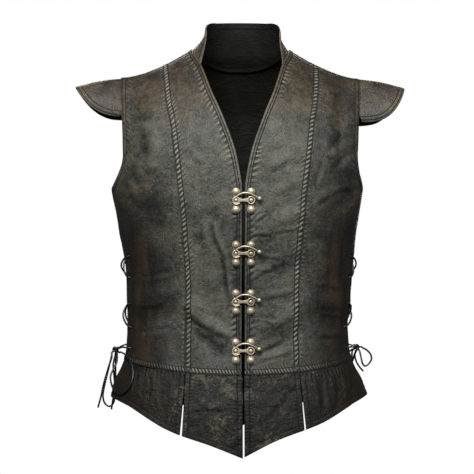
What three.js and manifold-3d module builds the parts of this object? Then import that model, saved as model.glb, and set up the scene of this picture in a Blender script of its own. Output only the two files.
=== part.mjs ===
// A man's leather jerkin in the style of the sixteenth century: a sleeveless, hip-length doublet with a
// standing collar, shoulder wings, a V neck that closes edge to edge with four swing clasps, princess
// seams, a tabbed basque below the waist and laced sides. It keeps the filled-out form that it has when it
// is worn, and it is hollow: neck, armholes, hem, slits and laced sides are open.
//
// Units are millimetres. +Z is up, the front faces -Y, and +X is the wearer's left. The origin lies midway
// between the two side neck points, where the wearer's shoulders carry the garment.
import * as THREE from "three";
import { mergeVertices } from "three/addons/utils/BufferGeometryUtils.js";
import Module from "manifold-3d";

const wasm = await Module();
wasm.setup();

// ---------------------------------------------------------------------------------------------------------
// Driving dimensions
// ---------------------------------------------------------------------------------------------------------
const WALL = 2; // leather thickness
const SEAM_GAP = 0.32; // between two pieces that are sewn together
const NECK_HALF = 77; // half the width of the neck hole, at the side neck points
const NECK_BACK_DROP = 22; // how far the centre back neck lies below the side neck points
const COLLAR_TOP = 51.5; // height of the collar's top edge at the centre back
const COLLAR_CROWN = 3; // how much lower it is at the sides of the neck
const COLLAR_DROP = 21; // and how much lower still at the front corners
const COLLAR_HALF = 60; // half the width of the collar's top edge
const COLLAR_BACK = 60; // how far behind the side line the collar's top edge lies at the centre back
const ARMHOLE_ANGLE = 63; // where round the body the armhole is cut, degrees from the centre front
const UNDERARM = -221; // height of the bottom of the armhole
const ARMHOLE_CURVE = 56; // height over which the armhole turns in under the arm
const FRONT_GAP = 2.4; // half the gap between the two front edges
const TAB_GAP = 1.2; // and between the two front tabs below the waist
const V_BOTTOM = -219; // height where the V neck ends
const LACE_TOP = -300; // height where the laced opening at the side starts
const LACE_GAP_ANGLE = 9; // half the laced opening, degrees round the body
const EYELET_ANGLE = 18; // from the side line to an eyelet, degrees round the body
const EYELET_RADIUS = 3.2;
const LACE_DIAMETER = 3;
const WAIST_SIDE = -493; // height of the waist seam at the side
const WAIST_DIP = 16; // how much lower the waist seam runs at the centre front and centre back
const SLIT_TOP = 0.32; // width of the slit between two tabs at the waist
const SLIT_HEM = 2.9; // and at the hem
const WING_REACH = 72; // how far the shoulder wing stands out at the top of the shoulder
const WING_TIP = -61; // height of its outer edge at the top of the shoulder
const WING_SPREAD = 20; // how far it stands out to the front and back
const WING_CROWN = 2.6; // how far it bulges between armhole and outer edge
const WING_LIFT = 0.5; // between the armhole's edge and the wing
const WING_ATTACH = -92; // level on the armhole where the wing's ends are sewn in
// The height of a wing's ends, and how its outer edge falls towards them: more falls sooner.
const WINGS = { right: { foot: -110, fall: 1.75 }, left: { foot: -118, fall: 2.4 } };

// How the body's section is rounded: 2 is an ellipse, more is squarer.
const ROUNDNESS = 2.2;
// The shoulder rolls over from the chest to the shoulder seam within this height, with this roundness.
const SHOULDER_ROLL = 160;
const SHOULDER_ROUNDNESS = 1.6;
// Rows of points turn from level to the slope of the shoulder within this height.
const LEVEL_BELOW = 220;

// Horizontal sections of the garment: half width, depth in front of and behind the side line, and how far
// both side lines are shifted to the wearer's left, because the garment doesn't hang quite evenly.
const SECTIONS = [
  { z: 60, half: 212, front: 100, back: 90, shift: 0 },
  { z: 0, half: 212, front: 106, back: 96, shift: 0 },
  { z: -60, half: 211, front: 114, back: 114, shift: 0 },
  { z: -120, half: 207, front: 124, back: 127, shift: -1 },
  { z: -175, half: 204, front: 129, back: 130, shift: -2 },
  { z: -221, half: 200, front: 131, back: 127, shift: -5 },
  { z: -260, half: 193, front: 131, back: 120, shift: -4 },
  { z: -299, half: 187, front: 128, back: 112, shift: -4 },
  { z: -330, half: 183, front: 124, back: 106, shift: -3 },
  { z: -365, half: 180, front: 120, back: 102, shift: -3 },
  { z: -400, half: 178, front: 117, back: 101, shift: -4 },
  { z: -450, half: 177, front: 116, back: 104, shift: -5 },
  { z: -478, half: 179, front: 117, back: 108, shift: -5 },
  { z: -503, half: 186, front: 119, back: 114, shift: -4 },
  { z: -528, half: 199, front: 124, back: 124, shift: -3 },
  { z: -555, half: 206, front: 130, back: 134, shift: -1 },
  { z: -600, half: 214, front: 136, back: 143, shift: 0 },
  { z: -640, half: 220, front: 139, back: 148, shift: 0 },
];
// Height of the shoulder line over the distance from the middle, as the front and the back cloth meet it.
const SHOULDER_LINE = [
  { x: 0, front: 54.8, back: 58 },
  { x: 20, front: 39.3, back: 54 },
  { x: 40, front: 24.6, back: 42 },
  { x: 58, front: 12.2, back: 24 },
  { x: 70, front: 4.4, back: 9.5 },
  { x: 77, front: 0, back: 0 },
  { x: 90, front: -7.8, back: -7.8 },
  { x: 106, front: -16.7, back: -16.7 },
  { x: 134, front: -30.2, back: -30.2 },
  { x: 160, front: -40, back: -40 },
  { x: 189, front: -46, back: -46 },
  { x: 215, front: -49, back: -49 },
];
// Distance of the V neck's edge from the middle, up to the side neck point.
const V_NECK = [
  { z: 0, x: 77 },
  { z: -10, x: 73.5 },
  { z: -28, x: 64 },
  { z: -74, x: 47.7 },
  { z: -104, x: 35 },
  { z: -123, x: 27.6 },
  { z: -156, x: 15.7 },
  { z: -182, x: 9 },
  { z: V_BOTTOM, x: FRONT_GAP },
];
// Distance of the princess seam from the middle, from the shoulder seam to the hem.
const PRINCESS = [
  { z: -26, x: 125 },
  { z: -89, x: 118 },
  { z: -122, x: 111.5 },
  { z: -178, x: 104.5 },
  { z: -252, x: 96 },
  { z: -339, x: 89 },
  { z: -383, x: 86.8 },
  { z: -470, x: 87.2 },
  { z: -508, x: 88 },
  { z: -598, x: 95 },
];
// Height of the hem over the distance from the middle.
const HEM = [
  { x: 0, front_right: -634, front_left: -632, back: -622 },
  { x: 50, front_right: -614.5, front_left: -607.5, back: -600 },
  { x: 97, front_right: -599.5, front_left: -591.5, back: -580 },
  { x: 125, front_right: -588, front_left: -581.5, back: -573.5 },
  { x: 157, front_right: -570, front_left: -565.5, back: -566 },
  { x: 178, front_right: -559, front_left: -555.5, back: -561 },
  { x: 210, front_right: -549, front_left: -546, back: -553 },
];
// The largest folds, each along a line over the front or the back: how wide it is and how far it rises.
const FOLDS = [
  { face: "front", x0: -50, z0: -270, x1: -30, z1: -372, reach: 13, rise: -3.2 },
  { face: "front", x0: -68, z0: -262, x1: -52, z1: -370, reach: 14, rise: 2.4 },
  { face: "front", x0: -78, z0: -405, x1: -34, z1: -452, reach: 13, rise: 2.8 },
  { face: "front", x0: -82, z0: -432, x1: -40, z1: -478, reach: 12, rise: -2.6 },
  { face: "front", x0: 36, z0: -286, x1: 84, z1: -262, reach: 12, rise: 2.4 },
  { face: "front", x0: 34, z0: -362, x1: 84, z1: -338, reach: 13, rise: -2.4 },
  { face: "front", x0: 40, z0: -438, x1: 92, z1: -402, reach: 14, rise: 2.6 },
  { face: "front", x0: 38, z0: -472, x1: 88, z1: -446, reach: 12, rise: -2.4 },
  { face: "front", x0: 138, z0: -70, x1: 134, z1: -170, reach: 13, rise: 3.2 },
  { face: "front", x0: 158, z0: -80, x1: 154, z1: -180, reach: 13, rise: -2.8 },
  { face: "front", x0: -140, z0: -90, x1: -134, z1: -190, reach: 15, rise: 2.6 },
  { face: "front", x0: -158, z0: -250, x1: -122, z1: -292, reach: 16, rise: -2.6 },
  { face: "front", x0: 160, z0: -236, x1: 120, z1: -300, reach: 16, rise: -2.8 },
  { face: "front", x0: -160, z0: -398, x1: -112, z1: -384, reach: 14, rise: 2.6 },
  { face: "front", x0: -160, z0: -428, x1: -108, z1: -420, reach: 14, rise: -2.6 },
  { face: "front", x0: 160, z0: -404, x1: 112, z1: -392, reach: 14, rise: 2.6 },
  { face: "front", x0: 162, z0: -436, x1: 112, z1: -424, reach: 14, rise: -2.6 },
  { face: "back", x0: -150, z0: -130, x1: -60, z1: -330, reach: 24, rise: 3 },
  { face: "back", x0: 150, z0: -130, x1: 66, z1: -320, reach: 24, rise: 3 },
  { face: "back", x0: -120, z0: -382, x1: 110, z1: -378, reach: 16, rise: -3 },
  { face: "back", x0: -100, z0: -412, x1: 120, z1: -416, reach: 16, rise: 3 },
  { face: "back", x0: -130, z0: -446, x1: 100, z1: -444, reach: 15, rise: -3 },
  { face: "back", x0: 0, z0: -70, x1: 0, z1: -300, reach: 30, rise: -4 },
];

const RAD = Math.PI / 180;
const clamp = (value, low, high) => Math.min(high, Math.max(low, value));
const mix = (a, b, share) => a + (b - a) * share;

// ---------------------------------------------------------------------------------------------------------
// Smooth curves through tables
// ---------------------------------------------------------------------------------------------------------
// The value of one column of a table, read where its key column has the value "at", on a smooth curve.
function through(table, key, column, at) {
  const rows = table[0][key] < table[table.length - 1][key] ? table : [...table].reverse();
  const last = rows.length - 1;
  if (at <= rows[0][key]) return rows[0][column];
  if (at >= rows[last][key]) return rows[last][column];
  let i = 0;
  while (rows[i + 1][key] < at) i += 1;
  const slope = (k) => {
    const before = rows[Math.max(k - 1, 0)];
    const after = rows[Math.min(k + 1, last)];
    return (after[column] - before[column]) / (after[key] - before[key]);
  };
  const step = rows[i + 1][key] - rows[i][key];
  const t = (at - rows[i][key]) / step;
  const t2 = t * t;
  const t3 = t2 * t;
  return (
    (2 * t3 - 3 * t2 + 1) * rows[i][column] +
    (t3 - 2 * t2 + t) * step * slope(i) +
    (3 * t2 - 2 * t3) * rows[i + 1][column] +
    (t3 - t2) * step * slope(i + 1)
  );
}

// ---------------------------------------------------------------------------------------------------------
// The garment's outer surface
// ---------------------------------------------------------------------------------------------------------
const SHOULDER_ROW = 0.0025; // the shoulder seam's gap between front and back, as a row

// A point of it is given by its angle round the body (0 at the centre front, 90 degrees at the wearer's
// left side, 180 at the centre back) and its row: 0 is the shoulder seam, 1 lies SHOULDER_ROLL below it.
function levelOf(row) {
  if (row < 1) return -SHOULDER_ROLL * row ** SHOULDER_ROUNDNESS;
  return -SHOULDER_ROLL * (1 + SHOULDER_ROUNDNESS * (row - 1));
}

function rowOf(level) {
  const depth = -level / SHOULDER_ROLL;
  if (depth < 1) return depth ** (1 / SHOULDER_ROUNDNESS);
  return 1 + (depth - 1) / SHOULDER_ROUNDNESS;
}

// How much of the shoulder line's slope a row at this level follows.
const slopeShare = (level) => clamp(1 + level / LEVEL_BELOW, 0, 1) ** 2;
const shoulderLine = (x, face) => through(SHOULDER_LINE, "x", face, x);
const heightAt = (level, x, face) => level + shoulderLine(x, face) * slopeShare(level);

function plainSurface(angle, row) {
  const sine = Math.sin(angle);
  const cosine = Math.cos(angle);
  const face = cosine < 0 ? "back" : "front";
  const level = levelOf(row);
  let z = level;
  let x = 0;
  for (let pass = 0; pass < 5; pass += 1) {
    x = through(SECTIONS, "z", "half", z) * Math.abs(sine) ** (2 / ROUNDNESS);
    z = heightAt(level, x, face);
  }
  const fall = clamp((shoulderLine(x, face) - z) / SHOULDER_ROLL, 0, 1);
  const roll = (1 - (1 - fall) ** SHOULDER_ROUNDNESS) ** (1 / SHOULDER_ROUNDNESS);
  const depth = through(SECTIONS, "z", face, z) * Math.abs(cosine) ** (2 / ROUNDNESS) * roll;
  const across = Math.sign(sine) * x + through(SECTIONS, "z", "shift", z) * sine * sine;
  return new THREE.Vector3(across, -Math.sign(cosine) * depth, z);
}

// The outward normal of a surface given as a function of angle and row.
function normalOf(surface, angle, row) {
  const across = 0.002;
  const down = 0.0006;
  const along = surface(angle + across, row).sub(surface(angle - across, row));
  const above = Math.max(row - down, 0);
  const up = surface(angle, above).sub(surface(angle, row + down));
  return along.cross(up).normalize();
}

function distanceToLine(x, z, fold) {
  const dx = fold.x1 - fold.x0;
  const dz = fold.z1 - fold.z0;
  const t = clamp(((x - fold.x0) * dx + (z - fold.z0) * dz) / (dx * dx + dz * dz), 0, 1);
  return Math.hypot(x - fold.x0 - t * dx, z - fold.z0 - t * dz);
}

function foldRise(point, face) {
  let rise = 0;
  for (const fold of FOLDS) {
    if (fold.face !== face) continue;
    const near = distanceToLine(point.x, point.z, fold) / fold.reach;
    rise += fold.rise * Math.exp(-near * near);
  }
  return rise;
}

function surface(angle, row) {
  const point = plainSurface(angle, row);
  const rise = foldRise(point, Math.cos(angle) < 0 ? "back" : "front");
  if (Math.abs(rise) < 0.01) return point;
  return point.addScaledVector(normalOf(plainSurface, angle, row), rise);
}

// The point at a height below the shoulders, moved out of the leather's outer face by "off".
function overSurface(angleDegrees, z, off) {
  const angle = angleDegrees * RAD;
  const row = rowOf(z);
  return surface(angle, row).addScaledVector(normalOf(surface, angle, row), off);
}

// ---------------------------------------------------------------------------------------------------------
// Seams and edges, as angles round the body
// ---------------------------------------------------------------------------------------------------------
function angleForX(x, z) {
  const share = clamp(x / through(SECTIONS, "z", "half", z), 0, 1);
  return Math.asin(share ** (ROUNDNESS / 2));
}

// The angle where a line that is given as a distance from the middle over the height crosses a level.
function lineAngle(table, level) {
  let z = level;
  let x = 0;
  for (let pass = 0; pass < 12; pass += 1) {
    x = through(table, "z", "x", z);
    z = heightAt(level, x, "front");
  }
  return angleForX(x, z);
}

const neckEdge = (level) => lineAngle(V_NECK, level);
const princess = (level) => lineAngle(PRINCESS, level);

// The front or back panel's edge at the side: the laced opening, the side seam, then the armhole.
function sideEdge(level) {
  const gap = 0.08;
  if (level > UNDERARM) {
    const turn = clamp((UNDERARM + ARMHOLE_CURVE - level) / ARMHOLE_CURVE, 0, 1);
    return mix(ARMHOLE_ANGLE, 90 - gap, 1 - Math.sqrt(1 - turn * turn)) * RAD;
  }
  const open = clamp((LACE_TOP - level) / 55, 0, 1);
  return (90 - gap - LACE_GAP_ANGLE * open * (2 - open)) * RAD;
}

const waistSeam = (angle) => WAIST_SIDE - WAIST_DIP * Math.cos(angle) ** 2;

function hemAt(angle) {
  const front = Math.sin(angle) < 0 ? "front_right" : "front_left";
  const face = Math.cos(angle) < 0 ? "back" : front;
  let z = -600;
  for (let pass = 0; pass < 6; pass += 1) {
    const x = through(SECTIONS, "z", "half", z) * Math.abs(Math.sin(angle)) ** (2 / ROUNDNESS);
    z = through(HEM, "x", face, x);
  }
  return z;
}

// The row of the back neckline at an angle, or of the shoulder seam outside the neck.
function backNeckRow(angle) {
  const above = (row) => {
    const point = plainSurface(angle, row);
    const x = Math.abs(point.x) / NECK_HALF;
    return x >= 1 || point.z > -NECK_BACK_DROP * (1 - x ** 3);
  };
  if (Math.abs(plainSurface(angle, 0).x) >= NECK_HALF) return SHOULDER_ROW;
  let high = 0;
  let low = 1;
  for (let pass = 0; pass < 30; pass += 1) {
    const middle = (high + low) / 2;
    if (above(middle)) high = middle;
    else low = middle;
  }
  return Math.max(SHOULDER_ROW, low);
}

// ---------------------------------------------------------------------------------------------------------
// Walls of leather
// ---------------------------------------------------------------------------------------------------------
// A closed wall from a grid of outer points and outward normals, both functions of column and row.
function wall(columns, rows, pointAt, normalAt, thickness = WALL) {
  const outer = [];
  const inner = [];
  for (let j = 0; j <= rows; j += 1)
    for (let i = 0; i <= columns; i += 1) {
      const point = pointAt(i, j);
      outer.push(point);
      inner.push(point.clone().addScaledVector(normalAt(i, j), -thickness));
    }
  const points = [...outer, ...inner];
  const behind = outer.length;
  const at = (i, j) => j * (columns + 1) + i;
  const index = [];
  const quad = (a, b, c, d) => index.push(a, b, c, a, c, d);
  for (let j = 0; j < rows; j += 1)
    for (let i = 0; i < columns; i += 1) {
      const corners = [at(i, j), at(i + 1, j), at(i + 1, j + 1), at(i, j + 1)];
      quad(...corners);
      quad(...corners.reverse().map((k) => k + behind));
    }
  const rim = [];
  for (let i = 0; i < columns; i += 1) rim.push(at(i, 0));
  for (let j = 0; j < rows; j += 1) rim.push(at(columns, j));
  for (let i = columns; i > 0; i -= 1) rim.push(at(i, rows));
  for (let j = rows; j > 0; j -= 1) rim.push(at(0, j));
  rim.forEach((a, k) => {
    const b = rim[(k + 1) % rim.length];
    quad(b, a, a + behind, b + behind);
  });
  const geometry = new THREE.BufferGeometry().setFromPoints(points);
  geometry.setIndex(index);
  geometry.computeVertexNormals();
  return geometry;
}

// A panel between two edges, which give the angle at a level, and between two rows at each angle. The
// shares say where its columns stand between the two edges.
function panel({ shares, rows, left, right, rowAt }) {
  const place = (i, j) => {
    let angle = 0;
    let row = rowAt(j, 0);
    for (let pass = 0; pass < 6; pass += 1) {
      const level = levelOf(row);
      angle = mix(left(level), right(level), shares[i]);
      row = rowAt(j, angle);
    }
    return [angle, row];
  };
  // At the shoulder seam the wall is cut upright, so that front and back meet face to face.
  const normalAt = (i, j) => {
    const [angle, row] = place(i, j);
    const normal = normalOf(surface, angle, row);
    return row < 2 * SHOULDER_ROW ? normal.setY(0).normalize() : normal;
  };
  return wall(shares.length - 1, rows, (i, j) => surface(...place(i, j)), normalAt);
}

const even = (columns) => Array.from({ length: columns + 1 }, (_, i) => i / columns);

// ---------------------------------------------------------------------------------------------------------
// Rows that all the panels above the waist share, so that their edges match along the seams
// ---------------------------------------------------------------------------------------------------------
const BANDS = [
  { from: WAIST_SIDE - WAIST_DIP, to: -440, steps: 4 },
  { from: -440, to: UNDERARM, steps: 10 },
  { from: UNDERARM, to: UNDERARM + ARMHOLE_CURVE, steps: 5 },
  { from: UNDERARM + ARMHOLE_CURVE, to: -100, steps: 3 },
  { from: -100, to: 0, steps: 6 },
];
const ROW_LIST = BANDS.flatMap(({ from, to, steps }) =>
  Array.from({ length: steps }, (_, k) => mix(rowOf(from), rowOf(to), k / steps)),
).concat(SHOULDER_ROW);
const BODICE_ROWS = ROW_LIST.length - 1;
const LOW_ROW = rowOf(-440);
const LOWEST_ROW = ROW_LIST[0];

// A shared row, bent at the bottom to follow the waist seam and at the top to follow the back neckline.
function bodiceRow(j, angle) {
  const row = ROW_LIST[j];
  if (row > LOW_ROW) {
    const share = (row - LOW_ROW) / (LOWEST_ROW - LOW_ROW);
    return mix(LOW_ROW, rowOf(waistSeam(angle)), share);
  }
  if (row > 1 || Math.cos(angle) > 0) return row;
  return mix(backNeckRow(angle), 1, (row - SHOULDER_ROW) / (1 - SHOULDER_ROW));
}

// ---------------------------------------------------------------------------------------------------------
// Bodice and basque
// ---------------------------------------------------------------------------------------------------------
const SEAM_HALF_ANGLE = 0.05 * RAD;
const mirrored = (edge) => (level) => -edge(level);

// side is 1 for the wearer's left and -1 for the right.
function sidedPanel(side, options) {
  const [near, far] = [options.near, options.far];
  return side > 0
    ? panel({ ...options, left: near, right: far })
    : panel({ ...options, left: mirrored(far), right: mirrored(near) });
}

const frontCentre = (side) =>
  sidedPanel(side, {
    shares: even(7),
    rows: BODICE_ROWS,
    rowAt: bodiceRow,
    near: neckEdge,
    far: (level) => princess(level) - SEAM_HALF_ANGLE,
  });

const frontSide = (side) =>
  sidedPanel(side, {
    shares: even(6),
    rows: BODICE_ROWS,
    rowAt: bodiceRow,
    near: (level) => princess(level) + SEAM_HALF_ANGLE,
    far: sideEdge,
  });

// The back's columns keep to the two side neck points.
const BACK_NECK_SHARE = 0.348;
const BACK_SHARES = [
  ...even(7).map((share) => share * BACK_NECK_SHARE),
  ...even(10).slice(1, -1).map((share) => mix(BACK_NECK_SHARE, 1 - BACK_NECK_SHARE, share)),
  ...even(7).map((share) => mix(1 - BACK_NECK_SHARE, 1, share)),
];

const back = () =>
  panel({
    shares: BACK_SHARES,
    rows: BODICE_ROWS,
    rowAt: bodiceRow,
    left: (level) => Math.PI - sideEdge(level),
    right: (level) => Math.PI + sideEdge(level),
  });

// A piece of the basque hangs from the waist seam to the hem.
const BASQUE_ROWS = 6;
const basqueRow = (j, angle) =>
  mix(rowOf(hemAt(angle)), rowOf(waistSeam(angle) - SEAM_GAP), j / BASQUE_ROWS);

// Half the width of the slit beside the princess line, as an angle.
function slitHalfAngle(level) {
  const share = clamp((WAIST_SIDE - WAIST_DIP - level) / 90, 0, 1);
  return mix(SLIT_TOP, SLIT_HEM, share) / 2 / 185;
}

const frontTab = (side) =>
  sidedPanel(side, {
    shares: even(5),
    rows: BASQUE_ROWS,
    rowAt: basqueRow,
    near: (level) => angleForX(TAB_GAP, level),
    far: (level) => princess(level) - slitHalfAngle(level),
  });

const sideTab = (side) =>
  sidedPanel(side, {
    shares: even(6),
    rows: BASQUE_ROWS,
    rowAt: basqueRow,
    near: (level) => princess(level) + slitHalfAngle(level),
    far: sideEdge,
  });

const backBasque = () =>
  panel({
    shares: even(18),
    rows: BASQUE_ROWS,
    rowAt: basqueRow,
    left: (level) => Math.PI - sideEdge(level),
    right: (level) => Math.PI + sideEdge(level),
  });

// ---------------------------------------------------------------------------------------------------------
// Collar and shoulder wings
// ---------------------------------------------------------------------------------------------------------
const COLLAR_FRONT = -28; // height where the collar's front end meets the V neck
const COLLAR_BACK_SHARE = 0.68; // share of half the collar that lies behind the shoulder seam
const COLLAR_FRONT_TURN = 98; // where the collar's top edge ends, degrees round the neck from the centre back
const COLLAR_LIFT = 0.7; // the collar stands this far above the neckline's edge
const COLLAR_LEAN = 4; // its top edge leans this far to the wearer's left
const COLLAR_INSET = 0.018; // and this share nearer to the middle

// A point of the neckline: 0 at the centre back, 1 and -1 at the collar's front ends.
function neckline(share) {
  const along = Math.abs(share);
  const side = share < 0 ? -1 : 1;
  const neckAngle = neckEdge(0);
  let point;
  if (along < COLLAR_BACK_SHARE) {
    const angle = mix(Math.PI, Math.PI - neckAngle, along / COLLAR_BACK_SHARE);
    point = surface(angle, backNeckRow(angle));
  } else {
    const low = rowOf(COLLAR_FRONT - 5);
    const row = mix(0, low, (along - COLLAR_BACK_SHARE) / (1 - COLLAR_BACK_SHARE));
    point = surface(neckEdge(levelOf(row)), row);
  }
  return point.setX(side * Math.abs(point.x) * (1 - COLLAR_INSET));
}

function collarPoint(share, up) {
  const foot = neckline(share);
  const turn = share * COLLAR_FRONT_TURN * RAD;
  const side = clamp(Math.abs(share) / 0.45, 0, 1);
  const front = clamp((Math.abs(share) - 0.45) / 0.55, 0, 1);
  const height = COLLAR_TOP - COLLAR_CROWN * side ** 2 - COLLAR_DROP * front ** 2;
  const x = COLLAR_LEAN + COLLAR_HALF * Math.sin(turn);
  const top = new THREE.Vector3(x, COLLAR_BACK * Math.cos(turn), height);
  const lean = (1 - up) ** 1.8;
  return new THREE.Vector3(
    mix(top.x, foot.x, lean),
    mix(top.y, foot.y, lean),
    mix(foot.z + COLLAR_LIFT, top.z, up),
  );
}

function collar() {
  const columns = 24;
  const rows = 4;
  const shareOf = (i) => (2 * i) / columns - 1;
  const outward = (i, j) => {
    const share = shareOf(i);
    const up = j / rows;
    const step = 0.01;
    const along = collarPoint(Math.min(share + step, 1), up).sub(collarPoint(Math.max(share - step, -1), up));
    const rise = collarPoint(share, Math.min(up + step, 1)).sub(collarPoint(share, Math.max(up - step, 0)));
    return rise.cross(along).normalize();
  };
  // The columns run the other way round the neck than round the body, so they are counted backwards.
  return wall(
    columns,
    rows,
    (i, j) => collarPoint(shareOf(columns - i), j / rows),
    (i, j) => outward(columns - i, j),
  );
}

// A point of the armhole's edge: 0 at the shoulder seam, -1 at the wing's front foot and 1 at its back foot.
function armholePoint(share) {
  const along = Math.abs(share) ** SHOULDER_ROUNDNESS;
  const level = mix(0, WING_ATTACH, along);
  const edge = sideEdge(level);
  const row = Math.max(rowOf(level), 0);
  return surface(share < 0 ? edge : Math.PI - edge, row);
}

function wingPoint({ foot: low, fall }, share, out) {
  const foot = armholePoint(share);
  const turn = (Math.abs(share) * Math.PI) / 2;
  const reach = 3 + (WING_REACH - 3) * Math.cos(turn) ** 0.75;
  const tip = new THREE.Vector3(
    foot.x + reach,
    foot.y + Math.sign(share) * WING_SPREAD * Math.sin(2 * turn),
    mix(low, WING_TIP, Math.cos(turn) ** fall),
  );
  const crown = WING_CROWN * Math.sin(Math.PI * out);
  const bulge = new THREE.Vector3(0, Math.sign(share) * Math.sin(turn), Math.cos(turn));
  return foot.lerp(tip, out).addScaledVector(bulge, crown).add(new THREE.Vector3(WING_LIFT, 0, 0));
}

function wing(side, form) {
  const columns = 14;
  const rows = 4;
  const shareOf = (i) => (2 * i) / columns - 1;
  const step = 0.01;
  const outward = (i, j) => {
    const share = clamp(shareOf(i), -1 + step, 1 - step);
    const out = clamp(j / rows, step, 1 - step);
    const along = wingPoint(form, share + step, out).sub(wingPoint(form, share - step, out));
    const away = wingPoint(form, share, out + step).sub(wingPoint(form, share, out - step));
    return away.cross(along).normalize();
  };
  const flip = (v) => v.setX(v.x * side);
  // The right armhole is the left one's mirror image about the middle of the section.
  const place = (v) => (side > 0 ? v : v.setX(2 * through(SECTIONS, "z", "shift", v.z) - v.x));
  const count = (i) => (side > 0 ? columns - i : i);
  return wall(
    columns,
    rows,
    (i, j) => place(wingPoint(form, shareOf(count(i)), j / rows)),
    (i, j) => flip(outward(count(i), j)),
  );
}

// ---------------------------------------------------------------------------------------------------------
// Solids that are cut and joined
// ---------------------------------------------------------------------------------------------------------
function solidOf(geometry, matrix = new THREE.Matrix4()) {
  const bare = geometry.index ? geometry.toNonIndexed() : geometry.clone();
  bare.applyMatrix4(matrix);
  bare.deleteAttribute("normal");
  bare.deleteAttribute("uv");
  const merged = mergeVertices(bare, 1e-4);
  return new wasm.Manifold(
    new wasm.Mesh({
      numProp: 3,
      vertProperties: merged.attributes.position.array,
      triVerts: new Uint32Array(merged.index.array),
    }),
  );
}

function geometryOf(solid) {
  const mesh = solid.getMesh();
  const geometry = new THREE.BufferGeometry();
  geometry.setAttribute("position", new THREE.BufferAttribute(new Float32Array(mesh.vertProperties), 3));
  geometry.setIndex(new THREE.BufferAttribute(new Uint32Array(mesh.triVerts), 1));
  geometry.computeVertexNormals();
  return geometry;
}

const joined = (solids) => solids.reduce((all, one) => all.add(one));
const moved = (x, y, z) => new THREE.Matrix4().makeTranslation(x, y, z);

// ---------------------------------------------------------------------------------------------------------
// Eyelets of the laced sides
// ---------------------------------------------------------------------------------------------------------
const EYELET_ROWS = [-329, -363, -403, -441, -473];

// Angles run from 0 to 180 degrees over one side, so the front eyelet and the back one lie about 90.
const EYELET_FRONT = 90 - EYELET_ANGLE;
const EYELET_BACK = 90 + EYELET_ANGLE;

function punched(geometry, side, angleDegrees) {
  let solid = solidOf(geometry);
  for (const z of EYELET_ROWS) {
    const start = overSurface(side * angleDegrees, z, 2);
    const end = overSurface(side * angleDegrees, z, -WALL - 2);
    const punch = new THREE.CylinderGeometry(EYELET_RADIUS, EYELET_RADIUS, start.distanceTo(end), 6);
    const turn = new THREE.Quaternion().setFromUnitVectors(
      new THREE.Vector3(0, 1, 0),
      start.clone().sub(end).normalize(),
    );
    const middle = start.clone().lerp(end, 0.5);
    const matrix = new THREE.Matrix4().compose(middle, turn, new THREE.Vector3(1, 1, 1));
    solid = solid.subtract(solidOf(punch, matrix));
  }
  return geometryOf(solid);
}

// ---------------------------------------------------------------------------------------------------------
// Laces
// ---------------------------------------------------------------------------------------------------------
// A tube through hand-placed points.
class PointCurve extends THREE.CatmullRomCurve3 {
  getPointAt(u, target) {
    return this.getPoint(u, target);
  }

  getTangentAt(u, target) {
    return this.getTangent(u, target);
  }
}

function cordGeometry(points, stepsEach) {
  const sides = 8;
  const section = new THREE.Shape();
  for (let k = 0; k < sides; k += 1) {
    const turn = ((k + 0.5) / sides) * 2 * Math.PI;
    const [x, y] = [(LACE_DIAMETER / 2) * Math.cos(turn), (LACE_DIAMETER / 2) * Math.sin(turn)];
    if (k === 0) section.moveTo(x, y);
    else section.lineTo(x, y);
  }
  return new THREE.ExtrudeGeometry(section, {
    steps: Math.round((points.length - 1) * stepsEach),
    extrudePath: new PointCurve(points, false, "centripetal"),
    bevelEnabled: false,
    curveSegments: 1,
  });
}

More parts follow.
